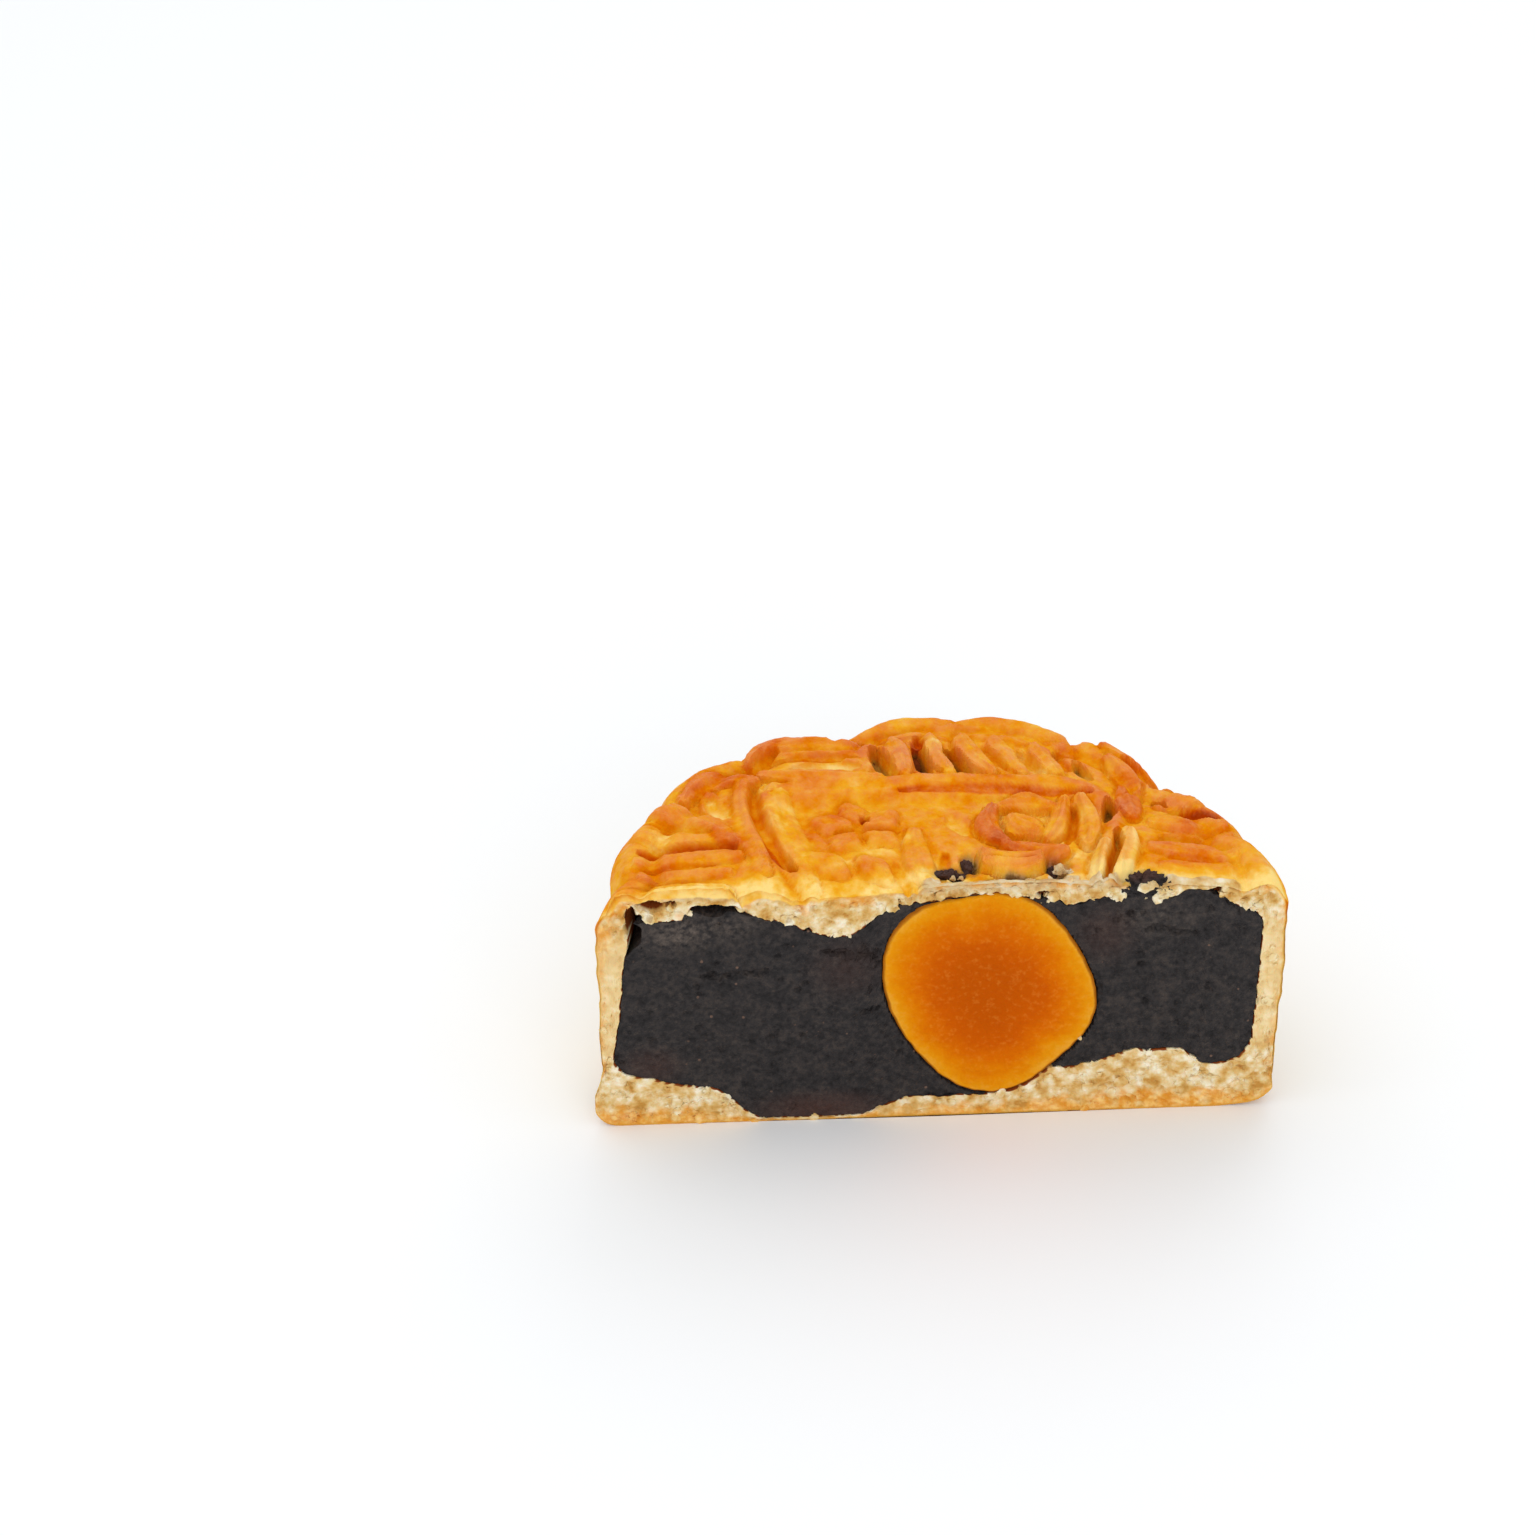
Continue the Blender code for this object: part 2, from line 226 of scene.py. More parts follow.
def makeLights():
    world = bpy.data.worlds.new("room")
    bpy.context.scene.world = world
    world.use_nodes = True
    sky = world.node_tree.nodes["Background"]
    sky.inputs["Color"].default_value = (*lights["sky"], 1)
    sky.inputs["Strength"].default_value = lights["skyStrength"]
    for name, wanted in lights["lamps"].items():
        data = bpy.data.lights.new(name, "AREA")
        data.size, data.energy, data.color = wanted["size"] * mm, wanted["watts"], wanted["colour"]
        lamp = placed(name, data)
        lamp.location = Vector(wanted["place"]) * mm
        lamp.rotation_euler = (-lamp.location).to_track_quat("-Z", "Y").to_euler()
    bpy.context.scene.view_settings.view_transform = "Standard"


def sumOf(operation, swapped=False):
    # the method of a Wire that adds the Math node for one operator
    def method(self, other):
        return self.maths(operation, other, self) if swapped else self.maths(operation, self, other)
    return method


class Wire:
    # a node's output that arithmetic works on, each sum adding its Math node
    def __init__(self, tree, socket):
        self.tree, self.socket = tree, socket

    def maths(self, operation, first, second=None, third=None):
        node = self.tree.nodes.new("ShaderNodeMath")
        node.operation = operation
        for slot, value in enumerate((first, second, third)):
            if isinstance(value, Wire):
                self.tree.links.new(value.socket, node.inputs[slot])
            elif value is not None:
                node.inputs[slot].default_value = value
        return Wire(self.tree, node.outputs[0])

    __add__, __radd__ = sumOf("ADD"), sumOf("ADD", True)
    __sub__, __rsub__ = sumOf("SUBTRACT"), sumOf("SUBTRACT", True)
    __mul__, __pow__ = sumOf("MULTIPLY"), sumOf("POWER")

    def clamped(self):
        return self.maths("MINIMUM", self.maths("MAXIMUM", self, 0.0), 1.0)

    def between(self, low, high):
        # 0 at low, 1 at high, smooth between
        node = self.tree.nodes.new("ShaderNodeMapRange")
        node.interpolation_type = "SMOOTHSTEP"
        self.tree.links.new(self.socket, node.inputs["Value"])
        node.inputs["From Min"].default_value = low
        node.inputs["From Max"].default_value = high
        return Wire(self.tree, node.outputs["Result"])


class Graph:
    # a node tree under construction
    def __init__(self, tree):
        self.tree = tree

    def node(self, kind, settings=None, out=0, **values):
        node = self.tree.nodes.new(kind)
        for key, value in (settings or {}).items():
            if key == "stops":
                self.setStops(node.color_ramp, value)
            else:
                setattr(node, key, value)
        self.fill(node, values)
        return Wire(self.tree, node.outputs[out])

    def fill(self, node, values):
        for key, value in values.items():
            # the open socket of that name, as Mix and others hold one for each kind of value
            socket = next(s for s in node.inputs if s.name.replace(" ", "") == key and s.enabled)
            if isinstance(value, Wire):
                self.tree.links.new(value.socket, socket)
            else:
                socket.default_value = value

    def setStops(self, ramp, stops):
        while len(ramp.elements) > 1:
            ramp.elements.remove(ramp.elements[-1])
        for index, (position, colour) in enumerate(stops):
            element = ramp.elements[0] if index == 0 else ramp.elements.new(position)
            element.position, element.color = position, tone(colour)


class Finish(Graph):
    # a material under construction
    def __init__(self, name):
        self.material = bpy.data.materials.new(name)
        self.material.use_nodes = True
        super().__init__(self.material.node_tree)
        self.shader = self.tree.nodes["Principled BSDF"]
        self.place = self.node("ShaderNodeTexCoord", out="Object")

    def noise(self, size, detail=3.0, roughness=0.55):
        return self.node("ShaderNodeTexNoise", Vector=self.place, Scale=1 / (size * mm), Detail=detail,
                         Roughness=roughness)

    def lumps(self, size, smoothness=0.5):
        # 0 in the middle of a lump, about 0.6 where lumps meet
        return self.node("ShaderNodeTexVoronoi", {"feature": "SMOOTH_F1"}, out="Distance", Vector=self.place,
                         Scale=1 / (size * mm), Smoothness=smoothness)

    def height(self):
        return self.node("ShaderNodeSeparateXYZ", out="Z", Vector=self.place) * (1 / mm)

    def value(self, name):
        return self.node("ShaderNodeAttribute", {"attribute_name": name}, out="Fac")

    def ramp(self, factor, stops):
        return self.node("ShaderNodeValToRGB", {"stops": stops}, Fac=factor)

    def mix(self, factor, first, second):
        first, second = (tone(c) if isinstance(c, tuple) else c for c in (first, second))
        return self.node("ShaderNodeMix", {"data_type": "RGBA"}, out="Result",
                         Factor=factor, A=first, B=second)

    def bump(self, height, depth):
        return self.node("ShaderNodeBump", out="Normal", Height=height, Distance=depth * mm, Strength=1.0)

    def done(self, **values):
        self.fill(self.shader, values)
        return self.material


def tone(colour):
    # an on-screen colour, 0 to 255, as the shader's own light values
    share = np.array(colour) / 255
    light = np.where(share <= 0.04045, share / 12.92, ((share + 0.055) / 1.055) ** 2.4)
    return (*light.tolist(), 1.0)


def makeFloor():
    bpy.ops.mesh.primitive_plane_add(size=6)
    floor = bpy.context.object
    floor.name = "floor"
    finish = Finish("pale table")
    finish.done(BaseColor=tone((246, 247, 248)), Roughness=0.6)
    floor.data.materials.append(finish.material)


makeCamera()
makeLights()
makeFloor()
print("camera, lights and floor made")


# Crust

cake = {
    "radius": 40.1, "height": 35.7, "rimDrop": 2.6, "shoulder": 3.6,
    "lobes": 16, "firstCrease": 15.5, "creaseDepth": 2.0, "lobeSharpness": 0.55,
    "footFlare": 0.4, "footLean": 0.5, "footHeight": 3.4, "footRound": 2.6,
    "rimWaves": ((1, 0.4, 3.6), (2, 0.8, 2.9), (3, 0.3, 1.0)),
    "sideWaves": ((1, 0.25, -1.57), (2, 0.2, 0.4), (3, 0.2, 2.1), (5, 0.15, 1.3)),
    # where the side gave way in the oven: direction, reach in degrees, how far in and down
    "dents": {
        "left back": (116.0, 46.0, 0.9, 1.7), "back crease": (106.5, 13.0, 1.4, 0.8),
        "left": (158.0, 24.0, 0.7, 0.4), "right": (36.0, 24.0, 2.0, 0.6),
    },
    "warp": 0.45, "warpSize": 9.0,  # how far hand and oven moved the moulded lines
    "lipDroop": 0.7, "lipReach": 3.4,  # the knife drags the top down along the cut
    # where the yolk and the left corner held it up: place along the cut, reach, share held
    "held": ((9.5, 17.0, 0.85), (-32.0, 7.0, 0.8)),
    "drape": 6.5,  # how far the baked brown runs down the lobes
    "paleLip": 4.5,  # how far back from the cut the top stayed pale
    "rolled": (-27.0, 17.0, 1.1),  # the skin rolled down over the cut: where, how far along, how far down
    "footLift": 0.7,  # of the right foot
    # bare crumb beside the fold over the yolk: place along the cut, reach along and back
    "ledges": {
        "left": (1.2, 3.2, 1.2), "middle": (9.0, 11.6, 1.0),
        "right": (14.1, 1.9, 2.2), "far right": (29.5, 5.0, 1.3),
    },
    "pocketDepth": 2.6,
    # unevenness of the top and of the side: strength, size, octaves, seed
    "topGrain": ((0.16, 2.4, 3, 7.7), (0.06, 0.7, 2, 1.3)),
    "sideGrain": ((0.35, 7.0, 2, 19.0), (0.12, 1.6, 3, 5.0)),
    # rows of points down the profile, columns round it, steps across the cut wall
    "rows": {"top": 136, "shoulder": 13, "side": 42, "foot": 10, "base": 74},
    "columns": 356, "insideColumns": 24, "cutSteps": 20,
    "crowding": 0.3,  # how much closer the columns stand next to the cut
}

hollow = {
    "ceiling": 31.9, "floor": 7.8, "wall": 37.35, "round": 2.6,
    "leanRight": (0.3, 0.0), "leanLeft": (-1.5, 1.0),  # how far the wall stands in at its foot and top
    "thinCrust": 0.4, "thinBase": 0.4, "reachBack": 9.0,
    "ragged": 0.3, "grain": ((1.0, 2.2, 3, 9.0), (0.6, 0.7, 2, 19.0)),
    # how the ceiling and the floor step up and down along the cut: from, to, change
    "ceilingSteps": {
        "flap": (-36.0, -33.4, -1.3), "slit": (-31.6, -28.6, 1.6),
        "skin past the slit": (-26.0, -17.0, -2.3),
        "crumb left of the yolk": (-18.5, -12.6, -2.1), "rise to the yolk": (-11.2, -4.4, 4.4),
        "over the yolk": (-4.0, 1.0, 0.6), "past the yolk": (8.5, 12.4, -0.6),
        "hanging crumb": (12.8, 14.6, -1.0), "hanging crumb's end": (15.6, 17.6, 0.9),
        "break through": (21.4, 22.8, 2.9), "hanging crumbs": (24.4, 25.3, -3.3),
        "past them": (26.6, 28.2, 1.5), "right shoulder": (29.0, 35.8, -3.4),
    },
    "floorSteps": {
        "left slope": (-37.0, -28.5, -2.2), "left fall": (-27.6, -20.6, -5.3),
        "rise to the yolk": (-10.0, -3.6, 2.7), "past the yolk": (6.0, 12.5, 3.9),
        "right rise": (15.0, 24.0, 2.3), "right dip": (28.4, 31.8, -2.3),
        "right corner": (34.2, 36.6, 0.9),
    },
}

yolk = {
    "centre": (5.53, 19.06), "width": 24.09, "height": 30.15, "depth": 24.4,
    "lean": 18.1, "blunt": -0.084,
    "waves": ((3, 0.0412, 0.738), (4, 0.0265, 3.877), (5, 0.0169, 4.209)),
    "front": 0.12, "rimDrop": 0.3, "crown": 0.1,  # how far its cut face lies back, and its rim besides
    "grain": ((0.1, 3.0, 3, 2.0), (0.05, 0.7, 2, 4.0)),
    "ragged": 0.0022, "steps": 240, "rings": 56, "backRings": 10,
}

mould = {
    "frameSide": 21.2, "frameCorner": 7.0, "frameWidth": 1.7, "frameRise": 0.6,
    "frameBrown": 0.2, "floorSink": 1.2, "boldness": 1.25,
    "beadInset": 2.6, "beadWidth": 2.6, "beadRise": 0.8,
    "grooveInset": 2.9, "grooveWidth": 1.4, "grooveDepth": 0.6,  # inside the bead
    "leafTaper": 0.45, "leafFoot": 0.6,  # a leaf's foot runs out past its width
    "veinTaper": 0.5, "veinFoot": 0.5,
    "veinRise": 0.13, "veinSpacing": 1.3,  # fine veins along each leaf
    "creaseWidth": 0.8, "creaseDepth": 0.45,  # the narrow crease round each leaf
}

# Leaves, stems and petals standing up from the top: start, end, width, rise, sideways bow,
# and how much more the oven browned them
raised = {
    "left arch": ((-29.4, 18.8), (-20.8, 22.4), 2.2, 0.8, 2.8, 0.25),
    "left arch inside": ((-26.8, 21.4), (-23.6, 12.8), 1.8, 0.5, -0.8, 0.2),
    "left stem": ((-22.3, 22.2), (-20.3, 3.5), 2.4, 0.7, -0.9, 0.15),
    "left stem bank": ((-18.3, 20.6), (-15.2, 1.0), 4.0, 0.5, -0.8, -0.25),
    "left long leaf": ((-33.4, 17.6), (-23.4, 9.4), 2.8, 0.8, 0.8, 0.25),
    "left leaf": ((-35.0, 12.2), (-24.0, 10.6), 2.2, 0.5, 0.3, -0.1),
    "left low leaf": ((-34.8, 7.4), (-23.5, 6.8), 2.4, 0.45, 0.4, 0.1),
    "left low leaf 2": ((-34.2, 4.8), (-24.8, 4.2), 2.4, 0.35, 0.3, 0.05),
    "left lip": ((-36.8, 0.1), (-25.2, 0.1), 4.4, 1.05, 0.0, 0.08),
    "back leaf": ((-18.0, 29.6), (-5.6, 28.6), 4.6, 0.9, 1.6, 0.2),
    "back leaf lip": ((-19.6, 24.0), (-6.0, 21.6), 2.4, 0.8, -0.4, 0.15),
    "back leaf side": ((-21.0, 26.4), (-15.2, 32.0), 2.4, 0.7, 1.2, 0.3),
    "comb post 1": ((-7.6, 23.4), (-8.4, 31.0), 2.8, 0.5, 0.0, 0.1),
    "comb post 2": ((-2.8, 22.6), (-3.7, 31.5), 2.0, 0.8, 0.0, 0.0),
    "comb post 3": ((2.4, 22.6), (0.9, 31.8), 2.1, 0.8, 0.3, -0.1),
    "comb post 4": ((7.3, 22.8), (4.8, 32.2), 2.6, 0.8, 0.5, 0.05),
    "comb post 5": ((11.5, 23.0), (8.8, 31.6), 1.9, 0.5, 0.3, 0.05),
    "comb post 6": ((15.6, 23.0), (13.4, 30.8), 2.2, 0.6, 0.3, 0.05),
    "comb arch": ((-4.5, 32.8), (17.5, 29.0), 2.2, 0.4, 2.2, 0.1),
    "right leaf edge": ((22.5, 30.0), (29.2, 21.2), 2.4, 0.7, 0.7, 0.1),
    "right leaf rib": ((22.4, 27.0), (24.4, 18.8), 2.0, 0.7, 0.5, 0.2),
    "right leaf foot": ((23.2, 20.0), (23.6, 13.2), 2.4, 0.7, 0.0, 0.5),
    "right leaf 2": ((27.2, 16.4), (32.4, 18.0), 2.2, 0.5, 0.4, 0.1),
    "right leaf 3": ((26.0, 12.2), (33.4, 11.4), 2.8, 0.5, 0.6, 0.1),
    "right leaf 4": ((25.0, 6.8), (34.0, 6.4), 3.0, 0.4, -0.5, 0.1),
    "right leaf 5": ((25.8, 3.0), (34.4, 3.6), 2.2, 0.25, 0.2, 0.1),
    "right fold": ((22.4, 9.4), (20.9, 0.9), 2.4, 0.9, -0.3, -0.4),
    "right pale petal": ((19.2, 6.6), (18.0, 0.4), 2.2, 0.9, 0.2, -0.4),
    "left blossom 1": ((-13.4, 13.8), (-10.6, 12.8), 3.8, 0.5, 0.0, 0.1),
    "left blossom 2": ((-9.8, 16.6), (-8.8, 14.0), 3.4, 0.5, 0.0, 0.2),
    "left blossom 3": ((-5.0, 14.6), (-7.2, 12.8), 3.6, 0.6, 0.0, 0.15),
    "left blossom 4": ((-5.5, 9.2), (-7.4, 10.8), 3.8, 0.5, 0.0, 0.1),
    "left blossom 5": ((-11.6, 8.4), (-10.0, 10.4), 3.6, 0.4, 0.0, 0.05),
    "left petal": ((-15.0, 6.6), (-11.4, 3.4), 3.2, 0.5, 0.4, -0.1),
    "left petal 2": ((-8.8, 5.2), (-6.4, 2.2), 2.8, 0.6, 0.2, 0.05),
    "middle stem": ((-2.6, 11.0), (-1.2, 0.8), 2.4, 0.6, -0.7, -0.05),
    "right blossom rim": ((6.9, 15.6), (8.0, 7.6), 2.2, 1.1, -1.3, 0.55),
    "right blossom foot": ((8.0, 7.2), (14.4, 6.4), 2.4, 1.0, -0.8, 0.45),
    "right blossom top": ((8.2, 16.2), (14.4, 16.0), 2.4, 0.9, 0.7, 0.25),
    "right blossom heart": ((9.4, 13.0), (11.8, 10.6), 4.2, 1.0, 0.0, 0.15),
    "right petal": ((13.2, 8.8), (15.8, 17.2), 2.0, 0.9, -0.4, 0.1),
    "right petal 2": ((17.5, 7.8), (17.5, 17.0), 2.0, 0.9, -0.4, -0.1),
    "folded petal": ((4.6, 5.0), (11.4, 4.5), 2.8, 1.5, -1.0, 0.05),
    "folded petal front": ((5.2, 3.7), (10.8, 3.4), 2.4, 1.4, -0.5, -0.05),
    "ledge over the yolk": ((-2.4, 0.2), (20.6, 0.2), 1.2, 0.45, 0.0, -0.3),
}

# Veins, bowls and slots pressed into it: start, end, width, depth, sideways bow, browning
pressed = {
    "left vein": ((-20.8, 21.4), (-17.0, 4.4), 1.8, 1.0, -1.5, 0.25),
    "left vein's dark foot": ((-20.0, 10.2), (-17.2, 4.4), 1.5, 0.8, -0.5, 0.8),
    "left bowl": ((-26.4, 19.6), (-24.6, 14.8), 2.4, 0.8, -0.2, -0.25),
    "left leaf vein": ((-34.6, 9.5), (-23.6, 8.7), 1.3, 0.9, 0.4, 0.65),
    "left leaf vein 2": ((-33.6, 15.0), (-26.4, 11.8), 1.2, 0.5, 0.3, 0.2),
    "left low vein": ((-34.0, 6.1), (-26.0, 5.6), 0.4, 0.35, 0.3, 0.3),
    "back bowl": ((-15.6, 25.6), (-8.6, 25.0), 3.0, 0.8, 0.4, -0.3),
    "back leaf vein": ((-21.8, 24.4), (-17.8, 29.6), 1.4, 0.7, 0.3, 0.4),
    "back leaf vein 2": ((-18.0, 27.6), (-8.0, 27.4), 0.9, 0.4, 0.8, 0.2),
    "slot 1": ((-4.7, 22.6), (-5.9, 29.4), 1.8, 2.0, 0.0, 0.0),
    "slot 2": ((-0.2, 22.2), (-1.2, 30.0), 1.5, 2.9, 0.0, 0.5),
    "slot 2's head": ((-1.0, 29.6), (-0.8, 31.8), 1.4, 1.0, 0.0, 0.8),
    "slot 3": ((5.0, 22.6), (2.8, 29.0), 1.6, 2.4, 0.3, 0.3),
    "slot 4": ((9.4, 24.4), (7.6, 29.4), 1.2, 0.9, 0.2, 0.2),
    "slot 5": ((13.4, 23.6), (11.4, 28.6), 1.5, 1.3, 0.2, 0.0),
    "slot 6": ((17.0, 24.4), (15.6, 29.0), 1.1, 0.8, 0.2, 0.2),
    "slot 7": ((19.2, 22.2), (18.2, 26.6), 1.6, 1.9, 0.2, -0.2),
    "frame line": ((-3.6, 19.2), (18.8, 18.6), 1.2, 0.45, 0.4, 0.65),
    "right leaf vein": ((24.4, 26.8), (27.4, 20.8), 1.5, 1.0, 0.5, 0.45),
    "right leaf vein 2": ((29.0, 22.4), (31.4, 19.4), 1.2, 0.5, 0.3, 0.2),
    "right hole": ((26.8, 17.8), (27.6, 16.8), 1.1, 1.6, 0.0, 0.4),
    "right frame hole": ((20.9, 16.8), (20.3, 12.4), 1.5, 2.2, 0.2, 0.1),
    "right crease": ((20.9, 9.6), (18.9, 0.2), 0.8, 1.5, 0.5, 0.35),
    "right slot": ((29.8, 15.4), (33.4, 13.8), 2.0, 1.2, 0.4, 1.0),
    "right slot 2": ((26.4, 8.9), (30.6, 8.8), 1.7, 1.1, 0.2, -0.1),
    "right slot 3": ((26.6, 5.0), (32.4, 5.0), 0.6, 0.3, -0.3, 0.3),
    "rim notch": ((18.4, 31.0), (21.0, 35.6), 2.8, 2.2, 0.0, -0.5),
    "rim notch at the back": ((-10.4, 32.6), (-12.0, 38.0), 4.0, 0.5, 0.0, -0.2),
    "pale patch": ((2.0, 14.4), (3.2, 11.2), 2.6, 0.6, 0.0, -0.35),
    "right petal vein": ((15.2, 8.4), (16.7, 15.8), 0.8, 0.7, -0.3, 0.3),
    "blossom cleft": ((9.4, 8.6), (12.4, 8.4), 0.9, 0.5, 0.0, 0.2),
    "left blossom spot": ((-8.2, 13.8), (-7.9, 13.2), 0.8, 0.7, 0.0, 0.9),
    "left blossom cleft": ((-11.6, 11.2), (-4.4, 11.4), 0.8, 0.4, 0.3, 0.2),
    "middle fold": ((-5.0, 5.0), (-4.2, 0.3), 1.2, 0.6, 0.0, 0.15),
    "middle fold 2": ((0.6, 6.6), (-0.2, 1.4), 1.0, 0.6, 0.0, 0.3),
}

# Places where the top nearly tears and the filling shows, their hollows also painted dark as shade: centre,
# reach across and back, depth
gaps = {
    "left of the fold": ((1.0, 3.0), (3.0, 1.7), 1.0),
    "deep left of the fold": ((3.0, 4.8), (1.4, 2.2), 1.2),
    "right of the fold": ((13.5, 3.7), (1.7, 2.4), 1.1),
    "under the fold": ((8.0, 1.25), (4.9, 0.6), 0.3),
    "over the swell": ((23.1, 0.2), (3.1, 1.5), 1.2),
}

# The cut crumb: how far its pores and grains lie behind the cut, and their sizes
crumb = {
    "behind": 0.12, "poreDepth": 0.45, "poreSize": 1.25, "porePatch": 3.5,
    "smallDepth": 0.2, "smallSize": 0.55, "grainDepth": 0.12, "grainSize": 1.1,
    "skin": 0.9,  # thickness of the skin beside it
    "rounding": 0.12, "roundingHigh": 0.4, "edge": 0.8,  # how the skin rounds over into the cut
}

# Openings in the cut crumb: centre, reach along and up
pockets = {
    "lens at the left": ((-33.4, 32.8), (1.9, 0.75)), "its tail": ((-31.4, 33.1), (0.8, 0.45)),
    "slit": ((-26.4, 32.2), (2.6, 0.6)), "left corner": ((-36.0, 30.6), (0.8, 2.2)),
    "under the swell": ((23.3, 33.2), (1.7, 1.9)), "swell's foot": ((21.2, 32.4), (1.5, 0.8)),
    "over the yolk's right": ((11.8, 32.9), (0.9, 0.45)), "right crumbs": ((31.4, 32.6), (1.0, 0.45)),
}


def lobe(angle):
    # 0 in a crease of the side, 1 on the crown of a lobe
    turn = (angle - math.radians(cake["firstCrease"])) * cake["lobes"] / 2
    return np.abs(np.sin(turn)) ** cake["lobeSharpness"]


def dent(angle, column):
    # how far the dents push the rim in (column 2) or down (column 3)
    return sum(one[column] * swell(np.degrees(angle) - one[0], one[1]) for one in cake["dents"].values())


def edgeRadius(angle):
    radius = cake["radius"] + waves(angle, cake["sideWaves"]) - dent(angle, 2)
    return radius - cake["creaseDepth"] * (1 - lobe(angle))


def plainTop(radius):
    return cake["height"] - cake["rimDrop"] * (radius / (cake["radius"] - cake["shoulder"])) ** 2


def bakeRise(angle, radius):
    share = radius / cake["radius"]
    return waves(angle, cake["rimWaves"]) * share ** 2 - dent(angle, 3) * share ** 3


def relief(x, y):
    # height of the moulded pattern over the plain dome, how deep its marks are, where it tore with its
    # hollow
    #     # painted as shade, and how brown each part baked
    radius, angle = np.hypot(x, y), np.arctan2(y, x)
    inset = edgeRadius(angle) - radius
    line = squareDistance(x, y, mould["frameSide"], mould["frameCorner"])
    height = mould["beadRise"] * swell(inset - mould["beadInset"], mould["beadWidth"])
    groove = swell(inset - mould["beadInset"] - mould["grooveInset"], mould["grooveWidth"])
    height = height - mould["grooveDepth"] * groove
    height = height - mould["floorSink"] * (1 - smoothStep(-4.0, -1.8, line))
    lift = mould["frameRise"] * swell(line, mould["frameWidth"])
    brown, dip = mould["frameBrown"] * swell(line, mould["frameWidth"]), np.zeros_like(x)
    for start, end, width, rise, bow, baked in raised.values():
        reach = width / 2 + mould["leafFoot"]
        away = stroke(x, y, start, end, bow, mould["leafTaper"])
        veins = np.cos(2 * math.pi * away / mould["veinSpacing"])
        share = plump(away, reach) * (1 + mould["veinRise"] * veins)
        dip = np.maximum(dip, rise * swell(away - reach, mould["creaseWidth"]))
        ahead = rise * mould["boldness"] * share > lift
        lift = np.where(ahead, rise * mould["boldness"] * share, lift)
        brown = np.where(ahead, baked * smoothStep(0, 0.5, share), brown)
    lift = lift - mould["creaseDepth"] * dip * (1 - smoothStep(0.1, 0.5, lift))
    mark, tornAndShaded = np.zeros_like(x), np.zeros_like(x)
    for start, end, width, depth, bow, baked in pressed.values():
        reach = width / 2 + mould["veinFoot"]
        share = trough(stroke(x, y, start, end, bow, mould["veinTaper"]), reach)
        ahead = depth * share > mark
        mark = np.where(ahead, depth * share, mark)
        brown = np.where(ahead, brown + (baked - brown) * smoothStep(0, 0.75, share), brown)
    for centre, reach, depth in gaps.values():
        # with a wavering edge
        away = spread(x, y, centre, reach)
        away = away + 0.1 * np.sin(2.1 * x + 0.9 * y) + 0.08 * np.sin(1.3 * y - 3.1 * x)
        tornAndShaded = np.maximum(tornAndShaded, 1 - smoothStep(0.45, 0.95, away))
        mark = np.maximum(mark, depth * trough(away, 1.2))
    height = height + lift * (1 - np.clip(mark / 0.9, 0, 1)) - mark
    return height, mark, tornAndShaded, brown


def yolkPoints(angles, share):
    # points of the yolk's cut outline, drawn in to a share of it
    lean = math.radians(yolk["lean"])
    ragged = yolk["ragged"] * (np.sin(23 * angles) + np.sin(37 * angles + 1))
    wave = 1 + waves(angles, yolk["waves"]) + ragged
    x = yolk["width"] / 2 * (1 + yolk["blunt"] * np.sin(angles)) * np.cos(angles) * wave * share
    z = yolk["height"] / 2 * np.sin(angles) * wave * share
    return (x * math.cos(lean) - z * math.sin(lean) + yolk["centre"][0],
            x * math.sin(lean) + z * math.cos(lean) + yolk["centre"][1])


def yolkEdge(x, y, side):
    # height of the yolk's top (side 1) or bottom (side -1) over a place, or nothing beside it
    count, nowhere = 720, 99.0
    edgeX, edgeZ = yolkPoints(np.linspace(0, 2 * math.pi, count + 1)[:-1], 1.0)
    left, right = int(np.argmin(edgeX)), int(np.argmax(edgeX))
    first, last = (right, left) if side > 0 else (left, right)
    turn = (first + np.arange((last - first) % count + 1)) % count
    order = np.argsort(edgeX[turn])
    drawn = np.sqrt(np.clip(1 - (y / (yolk["depth"] / 2)) ** 2, 1e-4, 1))
    place = (x - yolk["centre"][0]) / drawn + yolk["centre"][0]
    edge = np.interp(place, edgeX[turn][order], edgeZ[turn][order])
    edge = yolk["centre"][1] + drawn * (edge - yolk["centre"][1])
    inside = (place > edgeX[left]) & (place < edgeX[right]) & (np.abs(y) < yolk["depth"] / 2)
    return np.where(inside, edge, -side * nowhere)


def steps(x, y, terms):
    change = sum(height * smoothStep(start, end, x) for start, end, height in terms.values())
    return change * np.exp(-(y / hollow["reachBack"]) ** 2)


def even(start, end, count):
    return np.linspace(start, end, count + 1)[1:]


def quarterTurn(count):
    return np.radians(even(0, 90, count))


def cakeProfile():
    # from the middle of the top down to the middle of the base
    rows, shoulder, bend = cake["rows"], cake["shoulder"], cake["footRound"]
    brow, foot = cake["radius"] - shoulder, cake["radius"] + cake["footFlare"]
    top = np.linspace(0, brow, rows["top"] + 1)
    over, under = quarterTurn(rows["shoulder"]), quarterTurn(rows["foot"])
    side = even(plainTop(brow) - shoulder, bend, rows["side"])
    radius = np.concatenate((
        top, brow + shoulder * np.sin(over),
        cake["radius"] + cake["footFlare"] * (1 - smoothStep(3, 8, side)),
        foot - bend * (1 - np.cos(under)), even(foot - bend, 0, rows["base"])))
    height = np.concatenate((
        plainTop(top), plainTop(brow) - shoulder * (1 - np.cos(over)), side,
        bend * (1 - np.sin(under)), np.zeros(rows["base"])))
    return radius, height


